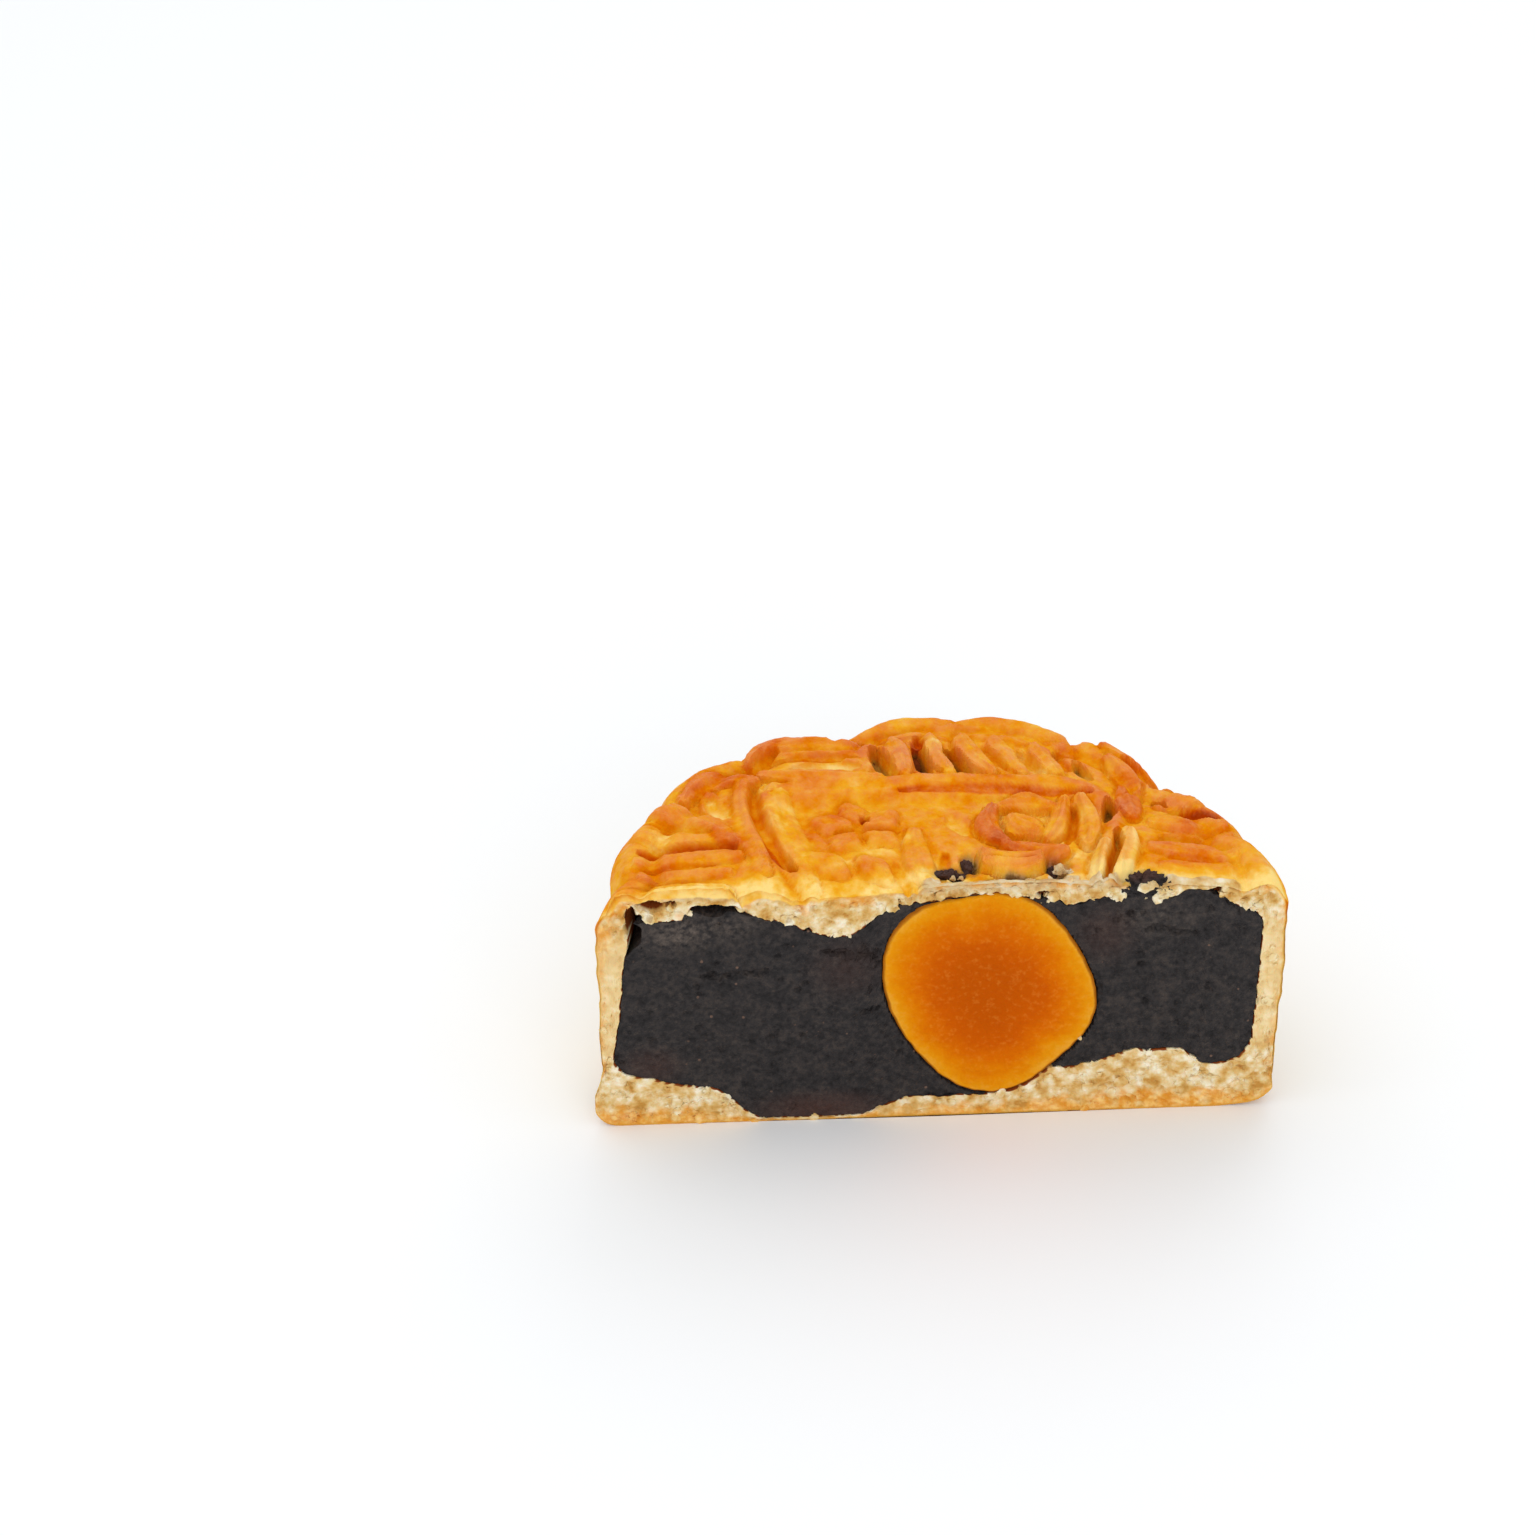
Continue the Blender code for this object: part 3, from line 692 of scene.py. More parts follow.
def hollowProfile(rows):
    # the hollow from the middle of its ceiling down to the middle of its floor, in as many rows
    ceiling, floor, bend = hollow["ceiling"], hollow["floor"], hollow["round"]
    brow = hollow["wall"] - bend
    over, under = quarterTurn(rows["shoulder"]), quarterTurn(rows["foot"])
    wall = even(ceiling - bend, floor + bend, rows["side"])
    radius = np.concatenate((
        np.linspace(0, brow, rows["top"] + 1), brow + bend * np.sin(over),
        np.full_like(wall, hollow["wall"]),
        brow + bend * np.cos(under), even(brow, 0, rows["base"])))
    height = np.concatenate((
        np.full(rows["top"] + 1, ceiling), ceiling - bend * (1 - np.cos(over)), wall,
        floor + bend * (1 - np.sin(under)), np.full(rows["base"], floor)))
    return radius, height


def revolved(profile, angles):
    # a profile turned through the angles: places, distances from the axis and angles of its points
    radius, height = (np.repeat(part[:, None], len(angles), axis=1) for part in profile)
    x, y = (radius * np.cos(angles)).ravel(), (radius * np.sin(angles)).ravel()
    return x, y, height.ravel(), np.hypot(x, y), np.tile(angles, len(profile[0]))


def lipDrop(x, y):
    # how far the knife dragged the top down along the cut
    held = sum(share * swell(x - place, reach) for place, reach, share in cake["held"])
    return cake["lipDroop"] * (1 - held) * np.clip(1 - y / cake["lipReach"], 0, 1) ** 2


def moulded(x, y):
    # the top's height over the plain dome with hand and oven unevenness, and its marks
    flat = np.column_stack((x, y, np.zeros_like(x)))
    movedX = x + grain(flat, cake["warpSize"], 2, 3.7) * cake["warp"]
    movedY = y + grain(flat, cake["warpSize"], 2, 41.3) * cake["warp"]
    height, mark, tornAndShaded, brown = relief(movedX, movedY)
    beside = 1.3
    around = sum(relief(movedX + dx, movedY + dy)[0]
                 for dx, dy in ((beside, 0), (-beside, 0), (0, beside), (0, -beside))) / 4
    return height - lipDrop(x, y), mark, height - around, tornAndShaded, brown


def roof(x, y):
    # lowest the top comes within reach of a place
    radius, reach = np.hypot(x, y), 1.4
    offsets = [(0, 0)] + [polar(turn, reach) for turn in range(0, 360, 90)]
    lowest = np.minimum.reduce([relief(x + dx, np.maximum(y + dy, 0))[0] for dx, dy in offsets])
    return plainTop(radius) + bakeRise(np.arctan2(y, x), radius) + lowest - lipDrop(x, y)


def shapedCake(angles):
    # the scalloped, moulded and unevenly baked outside, with what its finish needs to know
    x, y, z, radius, angle = revolved(cakeProfile(), angles)
    low = 1 - smoothStep(cake["footHeight"], cake["footHeight"] + 4, z)
    out = smoothStep(0.6, 0.95, radius / cake["radius"])
    lean = cake["footLean"] * low * np.cos(angle)
    radius = radius + (edgeRadius(angle) - cake["radius"] - lean) * out
    x, y = radius * np.cos(angle), radius * np.sin(angle)
    points = np.column_stack((x, y, z))
    brow = cake["height"] - cake["rimDrop"]
    onTop = smoothStep(brow - cake["shoulder"], brow - 0.6, z)
    height, mark, ridge, tornAndShaded, brown = moulded(x, y)
    fine = roughness(points, cake["topGrain"])
    z = z + onTop * (height + fine) + smoothStep(8, 30, z) * bakeRise(angle, radius)
    z = z + cake["footLift"] * smoothStep(33, 40.5, x) * (1 - smoothStep(0, 4, z))
    # the side swells and sinks a little, and its skin is finely uneven
    side = (1 - onTop) * smoothStep(0, 3, z)
    push = side * roughness(points, cake["sideGrain"])
    points = np.column_stack((x + push * np.cos(angle), y + push * np.sin(angle), z))
    # the brown of the top runs further down the crowns of the lobes than into the creases
    down = (brow - 1.5 - z) / (0.35 + 0.65 * lobe(angle) ** 2)
    drape = 1 - smoothStep(0.5, cake["drape"], down + 1.6 * grain(points, 3.0, 3, 33.0))
    # over the yolk the top tore back from the cut and left a ledge of bare crumb
    frayed, wander = np.zeros_like(x), 0.35 * grain(points, 1.4, 2, 13.0)
    for along, reach, back in cake["ledges"].values():
        here = 1 - smoothStep(back - 0.2, back + 0.2, y + wander)
        here = onTop * here * (1 - smoothStep(0.85, 1.05, np.abs(x - along) / reach))
        frayed = np.maximum(frayed, here)
    # the lip along the cut stayed pale, less so at the left and on the fold over the yolk
    lip = 1 - 0.5 * smoothStep(22, 34, -x) - 0.7 * swell(x - 8.0, 5.5)
    lip = np.clip(1 - y / cake["paleLip"], 0, 1) * lip
    facts = {"ridge": ridge, "mark": mark, "onTop": 1.0, "tornAndShaded": tornAndShaded, "brown": brown, "lip": lip}
    facts = {name: part * onTop for name, part in facts.items()}
    return points, {**facts, "cut": frayed, "inward": 0.9 * frayed, "drape": drape,
                    "crease": (1 - lobe(angle)) * out}


def shapedHollow(angles, rows):
    # the hollow that the filling lies in, kept under the top's relief and ragged along the cut
    x, y, z, radius, angle = revolved(hollowProfile(rows), angles)
    up = smoothStep(hollow["floor"] + 2, hollow["ceiling"] - 2, z)
    high = z + up * (steps(x, y, hollow["ceilingSteps"]) + bakeRise(angle, radius))
    high = high + (1 - up) * steps(x, y, hollow["floorSteps"])
    points = np.column_stack((x, y, high))
    rough = hollow["ragged"] * roughness(points, hollow["grain"])
    high = high + rough * (1 - smoothStep(0.2, 0.5, 0.5 - np.abs(up - 0.5)))
    high = np.where(z > hollow["ceiling"] - 0.5, np.maximum(high, yolkEdge(x, y, 1) + 0.1), high)
    high = np.where(z < hollow["floor"] + 0.5, np.minimum(high, yolkEdge(x, y, -1) - 0.1), high)
    high = np.clip(high, hollow["thinBase"], roof(x, y) - hollow["thinCrust"])
    out = radius / hollow["wall"]
    scale = 1 + 0.5 * (edgeRadius(angle) / cake["radius"] - 1) * smoothStep(0.7, 1, out)
    right, left = (np.array(hollow[name])[:, None] for name in ("leanRight", "leanLeft"))
    foot, top = np.where(np.cos(angle) > 0, right, left)
    lean = np.abs(np.cos(angle)) * (foot * (1 - smoothStep(7, 21, z)) + top * smoothStep(21, 29, z))
    scale = scale - (lean + 0.5 * rough) * smoothStep(0.8, 1, out) / hollow["wall"]
    return np.column_stack((x * scale, y * scale, high))


def pocketShare(points):
    # 1 in the middle of an opening in the cut crumb, 0 beside it
    share = np.zeros(len(points))
    for centre, reach in pockets.values():
        away = spread(points[:, 0], points[:, 2], centre, reach)
        share = np.maximum(share, trough(away + 0.15 * np.sin(2.7 * points[:, 0]), 1.2))
    return share


def crumbDepth(points, inside):
    # how far the cut crumb lies behind the cut, its pores and torn openings; inside is 0 at the skin
    flat = points * (1, 0, 1)
    pores = 1 - smoothStep(0.15, 0.55, cells(flat, crumb["poreSize"], 3.0))
    pores = pores * smoothStep(-0.2, 0.3, grain(flat, crumb["porePatch"], 2, 8.0))
    small = 1 - smoothStep(0.1, 0.5, cells(flat, crumb["smallSize"], 17.0))
    grains = np.abs(grain(flat, crumb["grainSize"], 3, 27.0))
    depth = crumb["behind"] + crumb["poreDepth"] * pores + crumb["smallDepth"] * small
    depth = (depth + crumb["grainDepth"] * grains) * (0.25 + 0.75 * inside)
    return depth + cake["pocketDepth"] * pocketShare(points)


def cutWall(outer, inner):
    # steps from the outside to the hollow along the cut, rounded over at the skin
    count = cake["cutSteps"] + 1
    share = np.linspace(0, 1, count)
    points = outer[:, None, :] * (1 - share)[:, None] + inner[:, None, :] * share[:, None]
    points = points.reshape(-1, 3)
    thickness = np.repeat(np.linalg.norm(outer - inner, axis=1), count)
    fromSkin = np.tile(share, len(outer)) * thickness
    where, reach, down = cake["rolled"]
    rolled = down * swell(outer[:, 0] - where, reach) * smoothStep(31, 33, outer[:, 2])
    rolled = np.repeat(rolled, count)
    inside = smoothStep(0.0, crumb["skin"], fromSkin - rolled)
    soft = crumb["rounding"] + crumb["roundingHigh"] * smoothStep(1, 6, points[:, 2]) + 0.3 * rolled
    atEdge = np.clip(1 - fromSkin / (crumb["edge"] + rolled), 0, 1)
    points[:, 1] = crumbDepth(points, inside) + soft * atEdge ** 2
    return points, inside, np.tile(share, len(outer))


def makeCrust():
    turn = np.linspace(0, 1, cake["columns"])
    angles = math.pi * (turn - cake["crowding"] * np.sin(2 * math.pi * turn) / (2 * math.pi))
    insideAngles = np.linspace(0, math.pi, cake["insideColumns"])
    rows = sum(cake["rows"].values()) + 1
    outer, facts = shapedCake(angles)
    outer = outer.reshape(rows, -1, 3)
    inner = shapedHollow(insideAngles, cake["rows"]).reshape(rows, -1, 3)
    walls = []
    for end in (0, -1):
        wall, inside, share = cutWall(outer[:, end], inner[:, end])
        wall = wall.reshape(rows, -1, 3)
        outer[:, end], inner[:, end] = wall[:, 0], wall[:, -1]
        like = {name: np.repeat(part.reshape(rows, -1)[:, end], wall.shape[1])
                for name, part in facts.items()}
        # the openings in the cut crumb take the hollow's brown as painted shade
        openingShade = np.clip(2 * pocketShare(wall.reshape(-1, 3)), 0, 1)
        golden = 0.5 * smoothStep(22, 29, wall[..., 2]) * smoothStep(33, 37, -wall[..., 0])
        like["cut"] = np.maximum.reduce((inside, openingShade, like["cut"]))
        like["inward"] = np.maximum(share - golden.ravel(), 0)
        like["inward"] = like["inward"] + (2 - like["inward"]) * openingShade
        like["tornAndShaded"] = like["tornAndShaded"] * (1 - smoothStep(0.1, 0.4, share))
        walls.append((wall, like))
    inside = {name: np.zeros(inner.size // 3) for name in facts}
    inside["cut"], inside["inward"] = inside["cut"] + 1, inside["inward"] + 2
    blocks = ((outer, facts), (inner, inside), *walls)
    crust = newPiece("baked-crust", *joined(block for block, like in blocks))
    for name in facts:
        addValue(crust, name, np.concatenate([like[name].ravel() for block, like in blocks]))
    sealed(crust, flatBelow=0.002)
    return crust, walls


crust, walls = makeCrust()
print("crust made:", len(crust.data.polygons), "faces")


# Filling

filling = {
    "gap": 0.12, "front": 0.12,
    "grain": ((0.24, 2.6, 3, 3.0), (0.16, 0.8, 2, 6.0)), "pitDepth": 0.5, "crackWander": 0.7,
    "dishFit": 0.992, "dishDepth": 0.5,  # how close the dish stands to the yolk, and how shallow it starts
    "rows": {"top": 120, "shoulder": 12, "side": 58, "foot": 12, "base": 120},
    "wallSteps": 12, "columns": 44,
    # places where the paste stands off from the crust: centre, reach along and up, gap
    "openings": {
        "left top corner": ((-35.8, 30.4), (2.9, 5.4), 2.4),
        "under the slit": ((-26.4, 32.2), (2.7, 1.5), 1.0),
    },
    # where the paste shows through the torn top: centre, reach across, back and up
    "lumps": {
        "right swell": ((23.2, 1.2, 32.8), (2.3, 1.1, 2.1)),
        "right swell's foot": ((21.0, 1.05, 32.4), (2.0, 0.9, 1.5)),
        "right swell's shoulder": ((25.5, 1.1, 32.6), (1.5, 0.9, 1.4)),
        "left of the fold": ((0.9, 3.0, 33.3), (1.9, 0.9, 1.25)),
        "deep left of the fold": ((3.1, 4.6, 33.4), (0.7, 1.4, 1.2)),
        "right of the fold": ((12.9, 3.6, 32.8), (0.6, 1.4, 1.2)),
    },
    "lumpRows": 26, "lumpColumns": 40, "lumpGrain": ((0.42, 0.7, 3, 51.0),),
    # crumb dust smeared over the cut paste and brown stains in it: centre, reach along and up, strength
    "smears": {
        "left top": ((-30.5, 28.8), (7.0, 4.2), 0.8), "left middle": ((-24.0, 29.6), (5.0, 3.0), 0.5),
        "right top": ((25.0, 29.0), (8.0, 4.0), 0.35),
    },
    "stains": {
        "bottom": ((-14.0, 1.4), (11.0, 4.0), 1.0), "left bottom": ((-34.0, 9.0), (5.0, 4.0), 0.6),
        "right": ((19.0, 27.0), (5.0, 6.0), 0.5), "beside the yolk": ((-11.0, 23.0), (6.0, 6.0), 0.4),
        "tear left of the fold": ((1.8, 34.8), (3.6, 1.8), 2.6),
        "tear right of it": ((13.0, 34.8), (2.0, 1.8), 2.6),
        "over the swell": ((23.2, 35.2), (4.0, 1.6), 1.8),
    },
    # cracks that the knife left: start, end, width, depth
    "cracks": {
        "left": ((-27.5, 22.0), (-20.5, 22.9), 0.5, 0.5),
        "over the middle": ((-13.6, 25.3), (-7.8, 24.4), 0.6, 0.7),
        "short": ((-9.0, 16.5), (-7.4, 16.9), 0.5, 0.5),
        "right": ((24.0, 27.5), (29.5, 26.6), 0.5, 0.4),
    },
}


def insetAlong(points, gap):
    # moves each row's profile inwards in its own upright plane
    x, y, z = np.moveaxis(points, -1, 0)
    radius = np.hypot(x, y)
    out, up = np.gradient(radius, axis=0), np.gradient(z, axis=0)
    length, radius = np.maximum(np.hypot(out, up), 1e-6), np.maximum(radius, 1e-6)
    inward = gap * (up / length)
    return np.stack((x + inward * x / radius, y + inward * y / radius, z - gap * (out / length)), axis=-1)


def openingAt(points):
    gap = np.full(points.shape[:-1], filling["gap"])
    for centre, reach, wide in filling["openings"].values():
        away = spread(points[..., 0], points[..., 2], centre, reach)
        gap = gap + wide * swell(away, 1.0) * swell(points[..., 1], 6.0)
    return gap


def fillingDepth(points):
    # how far the cut paste lies behind the cut: its grain, fine pits and cracks
    flat, depth = points * (1, 0, 1), filling["front"]
    for strength, size, octaves, seed in filling["grain"]:
        depth = depth + strength * np.abs(grain(flat, size, octaves, seed))
    pits = 1 - smoothStep(0.1, 0.4, cells(flat, 1.7, 11.0))
    depth = depth + filling["pitDepth"] * pits * smoothStep(0.0, 0.4, grain(flat, 5.0, 2, 21.0))
    x, z = points[:, 0], points[:, 2] + filling["crackWander"] * grain(flat, 2.4, 3, 31.0)
    for start, end, width, deep in filling["cracks"].values():
        depth = depth + deep * trough(stroke(x, z, start, end), width)
    return depth


def yolkShare(x, z):
    # 0 in the middle of the cut yolk, 1 at its outline
    lean = math.radians(yolk["lean"])
    dx, dz = x - yolk["centre"][0], z - yolk["centre"][1]
    up = (dz * math.cos(lean) - dx * math.sin(lean)) / (yolk["height"] / 2)
    across = (dx * math.cos(lean) + dz * math.sin(lean)) / (yolk["width"] / 2)
    across = across / (1 + yolk["blunt"] * np.clip(up, -1, 1))
    return np.hypot(across, up) / (1 + waves(np.arctan2(up, across), yolk["waves"]))


def roughLump(centre, reach):
    # a crumbly ball of paste, as a grid from pole to pole
    turn, tilt = np.meshgrid(np.linspace(0, 2 * math.pi, filling["lumpColumns"] + 1),
                             np.linspace(0, math.pi, filling["lumpRows"]))
    ball = np.stack((np.sin(tilt) * np.cos(turn), np.sin(tilt) * np.sin(turn), np.cos(tilt)), axis=-1)
    ball[:, -1] = ball[:, 0]
    rough = roughness(ball.reshape(-1, 3) * reach + centre, filling["lumpGrain"]).reshape(len(ball), -1)
    return ball * (1 + rough)[..., None] * reach + centre


def makeFilling():
    rows = filling["rows"]
    total = sum(rows.values()) + 1
    shell = shapedHollow(np.linspace(0, math.pi, filling["columns"]), rows).reshape(total, -1, 3)
    shell = insetAlong(shell, openingAt(shell))
    brow, tall = rows["top"], rows["shoulder"] + rows["side"] + rows["foot"]
    down = np.linspace(0, 1, tall + 1)[:, None]
    lattices = []
    for end in (0, -1):
        outline = shell[:, end]
        columns = [outline[k] * (1 - down) + outline[total - 1 - k] * down for k in range(brow + 1)]
        wall = outline[brow:brow + tall + 1]
        for k in range(1, filling["wallSteps"] + 1):
            columns.append(columns[brow] + (wall - columns[brow]) * k / filling["wallSteps"])
        lattice = np.array(columns)
        flat = lattice.reshape(-1, 3)
        share = yolkShare(flat[:, 0], flat[:, 2])
        dish = yolk["depth"] / 2 * np.sqrt(np.clip(1 - (share * filling["dishFit"]) ** 2, 0, 1))
        flat[:, 1] = fillingDepth(flat) + np.maximum(dish - filling["dishDepth"], 0)
        lattice = flat.reshape(lattice.shape)
        # a rounded edge all round, shared with the shell's first column
        shell[:brow + 1, end], shell[total - 1 - brow:, end] = lattice[:brow + 1, 0], lattice[brow::-1, -1]
        shell[brow:brow + tall + 1, end] = lattice[-1]
        lattices.append(lattice)
    lumps = (roughLump(*one) for one in filling["lumps"].values())
    points, faces = joined((shell, *lattices, *lumps))
    paste = newPiece("bean-filling", points, faces)
    for name in ("smears", "stains"):
        addValue(paste, name, sum(
            strength * swell(spread(points[:, 0], points[:, 2], centre, reach), 1.0)
            for centre, reach, strength in filling[name].values()))
    sealed(paste)
    return paste


paste = makeFilling()
print("filling made:", len(paste.data.polygons), "faces")


# Yolk

def makeYolk():
    count, rings, backRings = yolk["steps"], yolk["rings"], yolk["backRings"]
    angles = np.linspace(0, 2 * math.pi, count + 1)
    points, rim = [], []
    for k in range(rings + 1):
        share = (k / rings) ** 0.8
        x, z = yolkPoints(angles, np.full(count + 1, share))
        flat = np.column_stack((x, np.zeros_like(x), z))
        y = yolk["front"] + roughness(flat, yolk["grain"])
        y = y + yolk["rimDrop"] * smoothStep(0.96, 1.0, share) ** 2 + yolk["crown"] * share ** 2
        points.append(np.column_stack((x, np.maximum(y, 0.02), z)))
        rim.append(np.full(count + 1, share))
    for k in range(1, backRings + 1):
        turn = math.pi / 2 * k / backRings
        x, z = yolkPoints(angles, np.full(count + 1, math.cos(turn)))
        y = np.full_like(x, points[rings][:, 1].mean() + (yolk["depth"] / 2 - 1) * math.sin(turn))
        points.append(np.column_stack((x, y, z)))
        rim.append(np.ones(count + 1))
    for block in points:
        block[-1] = block[0]
    ball = newPiece("egg-yolk", *joined([np.array(points)]))
    addValue(ball, "rim", np.concatenate(rim))
    sealed(ball)
    return ball


ball = makeYolk()
print("yolk made:", len(ball.data.polygons), "faces")


# Finishes

# how light sinks into the crust and its crumb
sinking = {"SubsurfaceWeight": 0.1, "SubsurfaceScale": 0.001}


def crumbColour(f, inward):
    # pale chunky crumb, golden next to the skin, along the base and in patches
    patch, fine, lump = f.noise(2.6, 3.0), f.noise(0.7, 3.0), f.lumps(1.4)
    height = f.height()
    bottom = 1 - height.between(0.2, 4.4)
    wall = height.between(8, 12) * (1 - height.between(26, 30))
    top = height.between(33.0, 34.4)
    golden = 0.55 - inward * 1.8 + bottom * 0.8 + top * 0.3 + (lump - 0.4) * 0.7
    golden = golden + (patch - 0.5) * (4.2 - wall * 2.4)
    pale = 0.74 - lump * 0.45 + (fine - 0.5) * 0.6 + (patch - 0.5) * 1.2
    pale = f.ramp(pale.clamped(), (
        (0.2, (190, 138, 66)), (0.4, (214, 174, 106)), (0.58, (228, 204, 156)), (0.78, (242, 230, 204))))
    pale = f.mix(wall * 0.65, pale, (236, 210, 156))
    pale = f.mix(top * 0.45, pale, (198, 176, 144))
    warm = f.mix((fine - lump * 0.4).between(0.1, 0.6), (220, 142, 36), (242, 194, 100))
    colour = f.mix(golden.clamped() * 0.85, pale, warm)
    # brown inside the hollow, and the same brown as painted shade in the openings of the cut crumb
    return f.mix((inward * 2.5 - 2.9).clamped(), colour, (132, 66, 28))


def crustFinish():
    f = Finish("baked crust")
    ridge, mark, onTop, tornAndShaded, brown, lip, drape, cut, inward, crease = (f.value(n) for n in (
        "ridge", "mark", "onTop", "tornAndShaded", "brown", "lip", "drape", "cut", "inward", "crease"))
    broad, patch, fine, grit = f.noise(9.0), f.noise(3.0, 4.0), f.noise(1.1, 3.0), f.noise(0.35, 2.0)
    # the top: brown where it stood up or was pressed, yellow between, with a painted pinkish sheen on what
    # stands up
    browned = 0.34 + brown * 0.62 + ridge * 0.1
    browned = browned + (patch - 0.5) * 0.8 + (broad - 0.5) * 0.8 + (fine - 0.5) * 0.28
    browned = browned - lip.between(0.1, 0.8) * 0.28
    skin = f.ramp(browned.clamped(), (
        (0.0, (246, 212, 128)), (0.1, (240, 192, 88)), (0.22, (234, 168, 36)), (0.42, (226, 138, 6)),
        (0.62, (216, 108, 0)), (0.82, (198, 80, 0)), (1.0, (172, 58, 0))))
    paintedSheenAndGlaze = (ridge * 0.8 + (f.noise(1.7, 3.0) - 0.5) * 2.2 + (grit - 0.5) * 0.7 + 0.24).clamped()
    paintedSheenAndGlaze = paintedSheenAndGlaze * (1 - lip.between(0.2, 0.7))
    # the pinkish colour mixed in here is a painted sheen; the same share also sets the real glaze coat below
    skin = f.mix(paintedSheenAndGlaze * 0.4, skin, (232, 146, 78))
    # painted shade darkens the deepest marks to greenish brown and nearly black
    skin = f.mix(mark.between(1.2, 2.0) * 0.7, skin, (132, 98, 38))
    skin = f.mix(mark.between(2.1, 2.7) * 0.8, skin, (74, 46, 26))
    # the side: yellow tan, greyish green painted shade in the creases and brown at the foot
    side = f.mix((broad * 0.7 + fine * 0.3).between(0.3, 0.7), (222, 182, 92), (234, 200, 116))
    side = f.mix(crease.between(0.1, 0.9), side, (160, 144, 84))
    foot = (1 - f.height().between(0.3, 4.0) + (patch - 0.5) * 0.8) * 0.8
    side = f.mix(foot.clamped(), side, (208, 140, 48))
    colour = f.mix((drape + (fine - 0.5) * 0.3 * drape).clamped(), side, skin)
    colour = f.mix(cut.between(0.0, 0.5), colour, crumbColour(f, inward))
    # the tears: dark filling showing through, and painted shade in their hollows
    frayed = f.mix((fine - 0.5).between(-0.08, 0.12), (84, 54, 44), (168, 138, 110))
    colour = f.mix(tornAndShaded * 0.85, colour, frayed)
    # the coat is the egg glaze; a gloss of its own would bleach the skin in light from all round
    return f.done(BaseColor=colour, Roughness=0.42, SpecularIORLevel=0.0, **sinking,
                  CoatWeight=(paintedSheenAndGlaze * 0.5 * onTop).clamped(), CoatRoughness=0.3,
                  Normal=f.bump(fine * 0.6 + grit * 0.4, 0.2))


def crumbFinish():
    f = Finish("loose crumb")
    return f.done(BaseColor=crumbColour(f, f.value("inward")), Roughness=0.7, SpecularIORLevel=0.05,
                  **sinking, Normal=f.bump(f.noise(0.25, 2.0), 0.06))


def fillingFinish():
    f = Finish("bean paste")
    tint = f.ramp(f.noise(2.5, 4.0) * 0.45 + f.noise(0.6, 3.0) * 0.55, (
        (0.34, (16, 13, 14)), (0.5, (41, 37, 37)), (0.66, (62, 54, 50))))
    # dark dots painted as the shade of small pits
    pitShade = (1 - f.lumps(1.3, 0.2).between(0.1, 0.34)) * f.noise(4.0).between(0.46, 0.6)
    tint = f.mix(pitShade * 0.6, tint, (16, 12, 12))
    fine = f.noise(0.7, 3.0)
    tint = f.mix((f.value("stains") * (fine + 0.3)).clamped() * 0.6, tint, (84, 52, 42))
    tint = f.mix((f.value("smears") * (fine - 0.38) * 4.0).clamped() * 0.4, tint, (140, 124, 112))
    fleck = (1 - f.lumps(1.6, 0.0).between(0.08, 0.14)) * f.noise(3.1).between(0.52, 0.6)
    tint = f.mix(fleck * 0.7, tint, (120, 92, 76))
    return f.done(BaseColor=tint, Roughness=0.6, SpecularIORLevel=0.2,
                  Normal=f.bump(f.noise(0.5, 3.0), 0.35))


def yolkFinish():
    f = Finish("cut egg yolk")
    rim, patch, fine, grit = f.value("rim"), f.noise(4.5), f.noise(0.6, 3.0), f.noise(0.35, 2.0)
    out = rim + (patch - 0.5) * 0.3 + (fine - 0.5) * 0.14 + (grit - 0.5) * 0.08
    tint = f.ramp(out.clamped(), (
        (0.25, (186, 80, 0)), (0.5, (196, 86, 0)), (0.66, (208, 102, 0)), (0.8, (216, 122, 0)),
        (0.92, (222, 142, 10)), (1.0, (226, 158, 44))))
    tint = f.mix((fine - 0.5).between(0.0, 0.25) * 0.25, tint, (226, 140, 50))
    tint = f.mix((rim + (patch - 0.5) * 0.06).between(0.965, 0.99) * 0.75, tint, (158, 74, 8))
    return f.done(BaseColor=tint, Roughness=0.5, SpecularIORLevel=0.02, SubsurfaceWeight=0.05,
                  SubsurfaceScale=0.002, Normal=f.bump(fine, 0.1))


# Loose crumbs along the cut

crumbs = {
    "perSquareMetre": 650000.0, "clusterShare": 3.5,  # how many, and how many times as many in a cluster
    "smallest": 0.18, "largest": 0.85, "roughness": 0.42, "seed": 11,
    "clumpScale": 380.0, "lumpScale": 2400.0,  # waves in a metre of the noise that gathers and dents them
    # clusters beside the cut wall: place across, back and up, reach along and up, where they count as golden
    "clusters": {
        "right of the yolk": ((20.2, 0.35, 32.4), (1.5, 0.5), 0.6),
        "under the swell": ((24.6, 0.3, 32.8), (1.8, 1.2), 0.8),
        "hanging at the right": ((35.0, 0.35, 30.4), (1.2, 0.8), 0.8),
        "right corner": ((32.6, 0.35, 32.4), (1.9, 0.8), 0.8),
        "beside the yolk": ((16.8, 0.35, 10.9), (0.5, 0.6), 0.8),
        "beside its top": ((11.3, 0.3, 32.0), (1.0, 0.6), 0.8),
        "hanging beside it": ((14.9, 0.3, 30.4), (0.9, 0.7), 0.8),
        "in the tear left of the fold": ((1.0, 2.0, 34.0), (2.4, 0.4), 0.9),
        "in the tear right of it": ((13.8, 2.9, 34.0), (1.2, 0.8), 0.9),
        "over the yolk": ((9.5, 0.55, 34.5), (10.5, 0.35), 0.6),
        "left of the yolk": ((-6.2, 0.3, 31.6), (1.6, 0.6), 0.4),
        "fleck at the left": ((-32.5, 0.3, 26.0), (0.4, 0.5), 0.7),
        "left flap": ((-31.6, 0.3, 32.0), (3.0, 0.7), 0.6),
    },
}


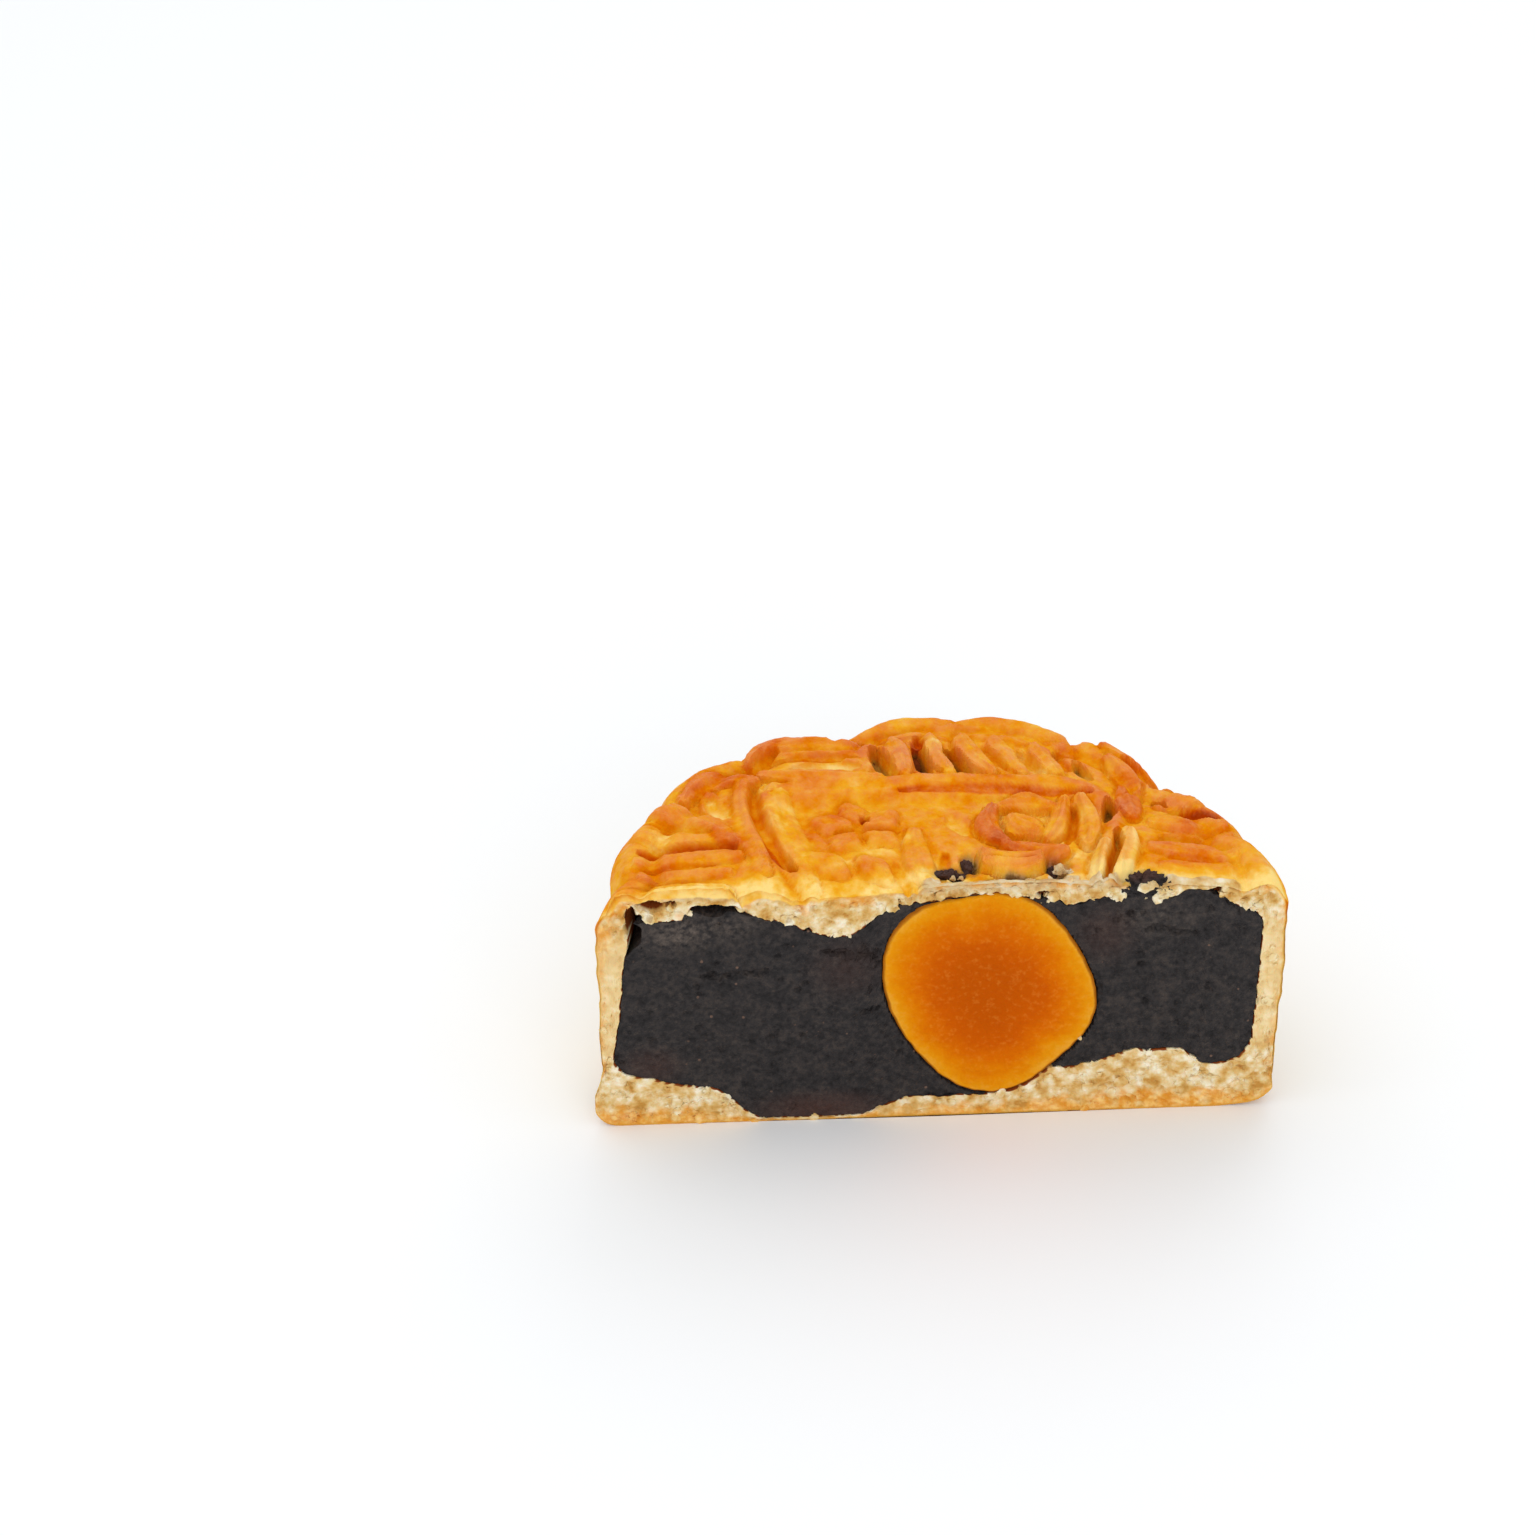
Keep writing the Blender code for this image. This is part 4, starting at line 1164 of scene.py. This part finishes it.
def crumbTree():
    # crumbs strewn over a surface: rough little balls of random size, made real
    tree = bpy.data.node_groups.new("strewn crumbs", "GeometryNodeTree")
    inputs = {"Geometry": "Geometry", "Density": "Float", "Smallest": "Float", "Largest": "Float",
              "Roughness": "Float", "Seed": "Int", "Material": "Material"}
    for name, kind in inputs.items():
        tree.interface.new_socket(name, in_out="INPUT", socket_type="NodeSocket" + kind)
    tree.interface.new_socket("Geometry", in_out="OUTPUT", socket_type="NodeSocketGeometry")
    g = Graph(tree)
    source = tree.nodes.new("NodeGroupInput")
    given = {name: Wire(tree, source.outputs[name]) for name in inputs}

    def chance(kind, low, high):
        return g.node("FunctionNodeRandomValue", {"data_type": kind}, out="Value", Min=low, Max=high,
                      Seed=given["Seed"])

    inward, thick = (g.node("GeometryNodeInputNamedAttribute", {"data_type": "FLOAT"}, out="Attribute",
                            Name=name) for name in ("inward", "thick"))
    place = g.node("GeometryNodeInputPosition")
    clump = g.node("ShaderNodeTexNoise", out="Fac", Vector=place, Scale=crumbs["clumpScale"], Detail=2.0)
    clump = clump.between(0.36, 0.6) * 0.85 + 0.15
    strewn = g.node("GeometryNodeDistributePointsOnFaces", out="Points", Mesh=given["Geometry"],
                    Selection=inward.maths("GREATER_THAN", inward, 0.06),
                    Density=given["Density"] * thick * clump, Seed=given["Seed"])
    ball = g.node("GeometryNodeMeshUVSphere", out="Mesh", Segments=8, Rings=5, Radius=1.0)
    # most crumbs are small
    size = chance("FLOAT", 0.0, 1.0) ** 3.0
    size = given["Smallest"] + (given["Largest"] - given["Smallest"]) * size
    turn = chance("FLOAT_VECTOR", (0.0, 0.0, 0.0), (6.28, 6.28, 6.28))
    balls = g.node("GeometryNodeInstanceOnPoints", out="Instances", Points=strewn, Instance=ball,
                   Rotation=turn, Scale=size)
    real = g.node("GeometryNodeRealizeInstances", out="Geometry", Geometry=balls)
    push = g.node("ShaderNodeTexNoise", {"normalize": False}, out="Color", Vector=place,
                  Scale=crumbs["lumpScale"], Detail=2.0)
    push = g.node("ShaderNodeVectorMath", {"operation": "SCALE"}, out="Vector", Vector=push,
                  Scale=given["Roughness"] * given["Largest"])
    rough = g.node("GeometryNodeSetPosition", out="Geometry", Geometry=real, Offset=push)
    coated = g.node("GeometryNodeSetMaterial", out="Geometry", Geometry=rough, Material=given["Material"])
    tree.links.new(coated.socket, tree.nodes.new("NodeGroupOutput").inputs["Geometry"])
    return tree


def crumbBed(walls):
    # the cut wall's faces and small patches for the clusters, with how inward and how thick with crumbs
    points, faces = joined(wall for wall, like in walls)
    cut, inward = (np.concatenate([like[name] for wall, like in walls]) for name in ("cut", "inward"))
    inward = np.where((cut > 0.75) & (pocketShare(points) < 0.05), inward, 0)
    onWall, corners = len(points), 12
    turn = np.linspace(0, 2 * math.pi, corners + 1)[:-1]
    for (x, y, z), (along, up), golden in crumbs["clusters"].values():
        patch = (x + along * np.cos(turn), np.full(corners, y), z + up * np.sin(turn))
        faces.append(list(range(len(points), len(points) + corners)))
        points = np.vstack((points, np.column_stack(patch)))
        inward = np.append(inward, np.full(corners, golden))
    # few crumbs along the middle of the wall at either side
    x, y, z = points.T
    thin = smoothStep(8, 11, z) * (1 - smoothStep(27, 30, z)) * smoothStep(35, 36, np.abs(x))
    thick = np.where(np.arange(len(points)) < onWall, 1 - 0.8 * thin, crumbs["clusterShare"])
    return points, faces, inward, thick


def makeCrumbs(walls):
    points, faces, inward, thick = crumbBed(walls)
    piece = newPiece("crumbs", points, faces)
    addValue(piece, "inward", inward)
    addValue(piece, "thick", thick)
    tree = crumbTree()
    strewn = piece.modifiers.new("strewn", "NODES")
    strewn.node_group = tree
    values = {"Density": crumbs["perSquareMetre"], "Smallest": crumbs["smallest"] * mm,
              "Largest": crumbs["largest"] * mm, "Roughness": crumbs["roughness"],
              "Seed": crumbs["seed"], "Material": crumbFinish()}
    for socket in tree.interface.items_tree:
        if socket.in_out == "INPUT" and socket.name in values:
            strewn[socket.identifier] = values[socket.name]
    whole = piece.evaluated_get(bpy.context.evaluated_depsgraph_get())
    piece.data = bpy.data.meshes.new_from_object(whole)
    piece.modifiers.remove(strewn)
    # the knife cut the foremost crumbs flat
    for vertex in piece.data.vertices:
        vertex.co = np.clip(vertex.co, solidBox[0], solidBox[1])
    return piece


loose = makeCrumbs(walls)
print("crumbs made:", len(loose.data.polygons), "faces")

crust.data.materials.append(crustFinish())
paste.data.materials.append(fillingFinish())
ball.data.materials.append(yolkFinish())

for piece, node in ((crust, "crust"), (paste, "filling"), (ball, "yolk")):
    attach(piece, "root")
    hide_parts(node)
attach(loose, "root")
print("finishes set")
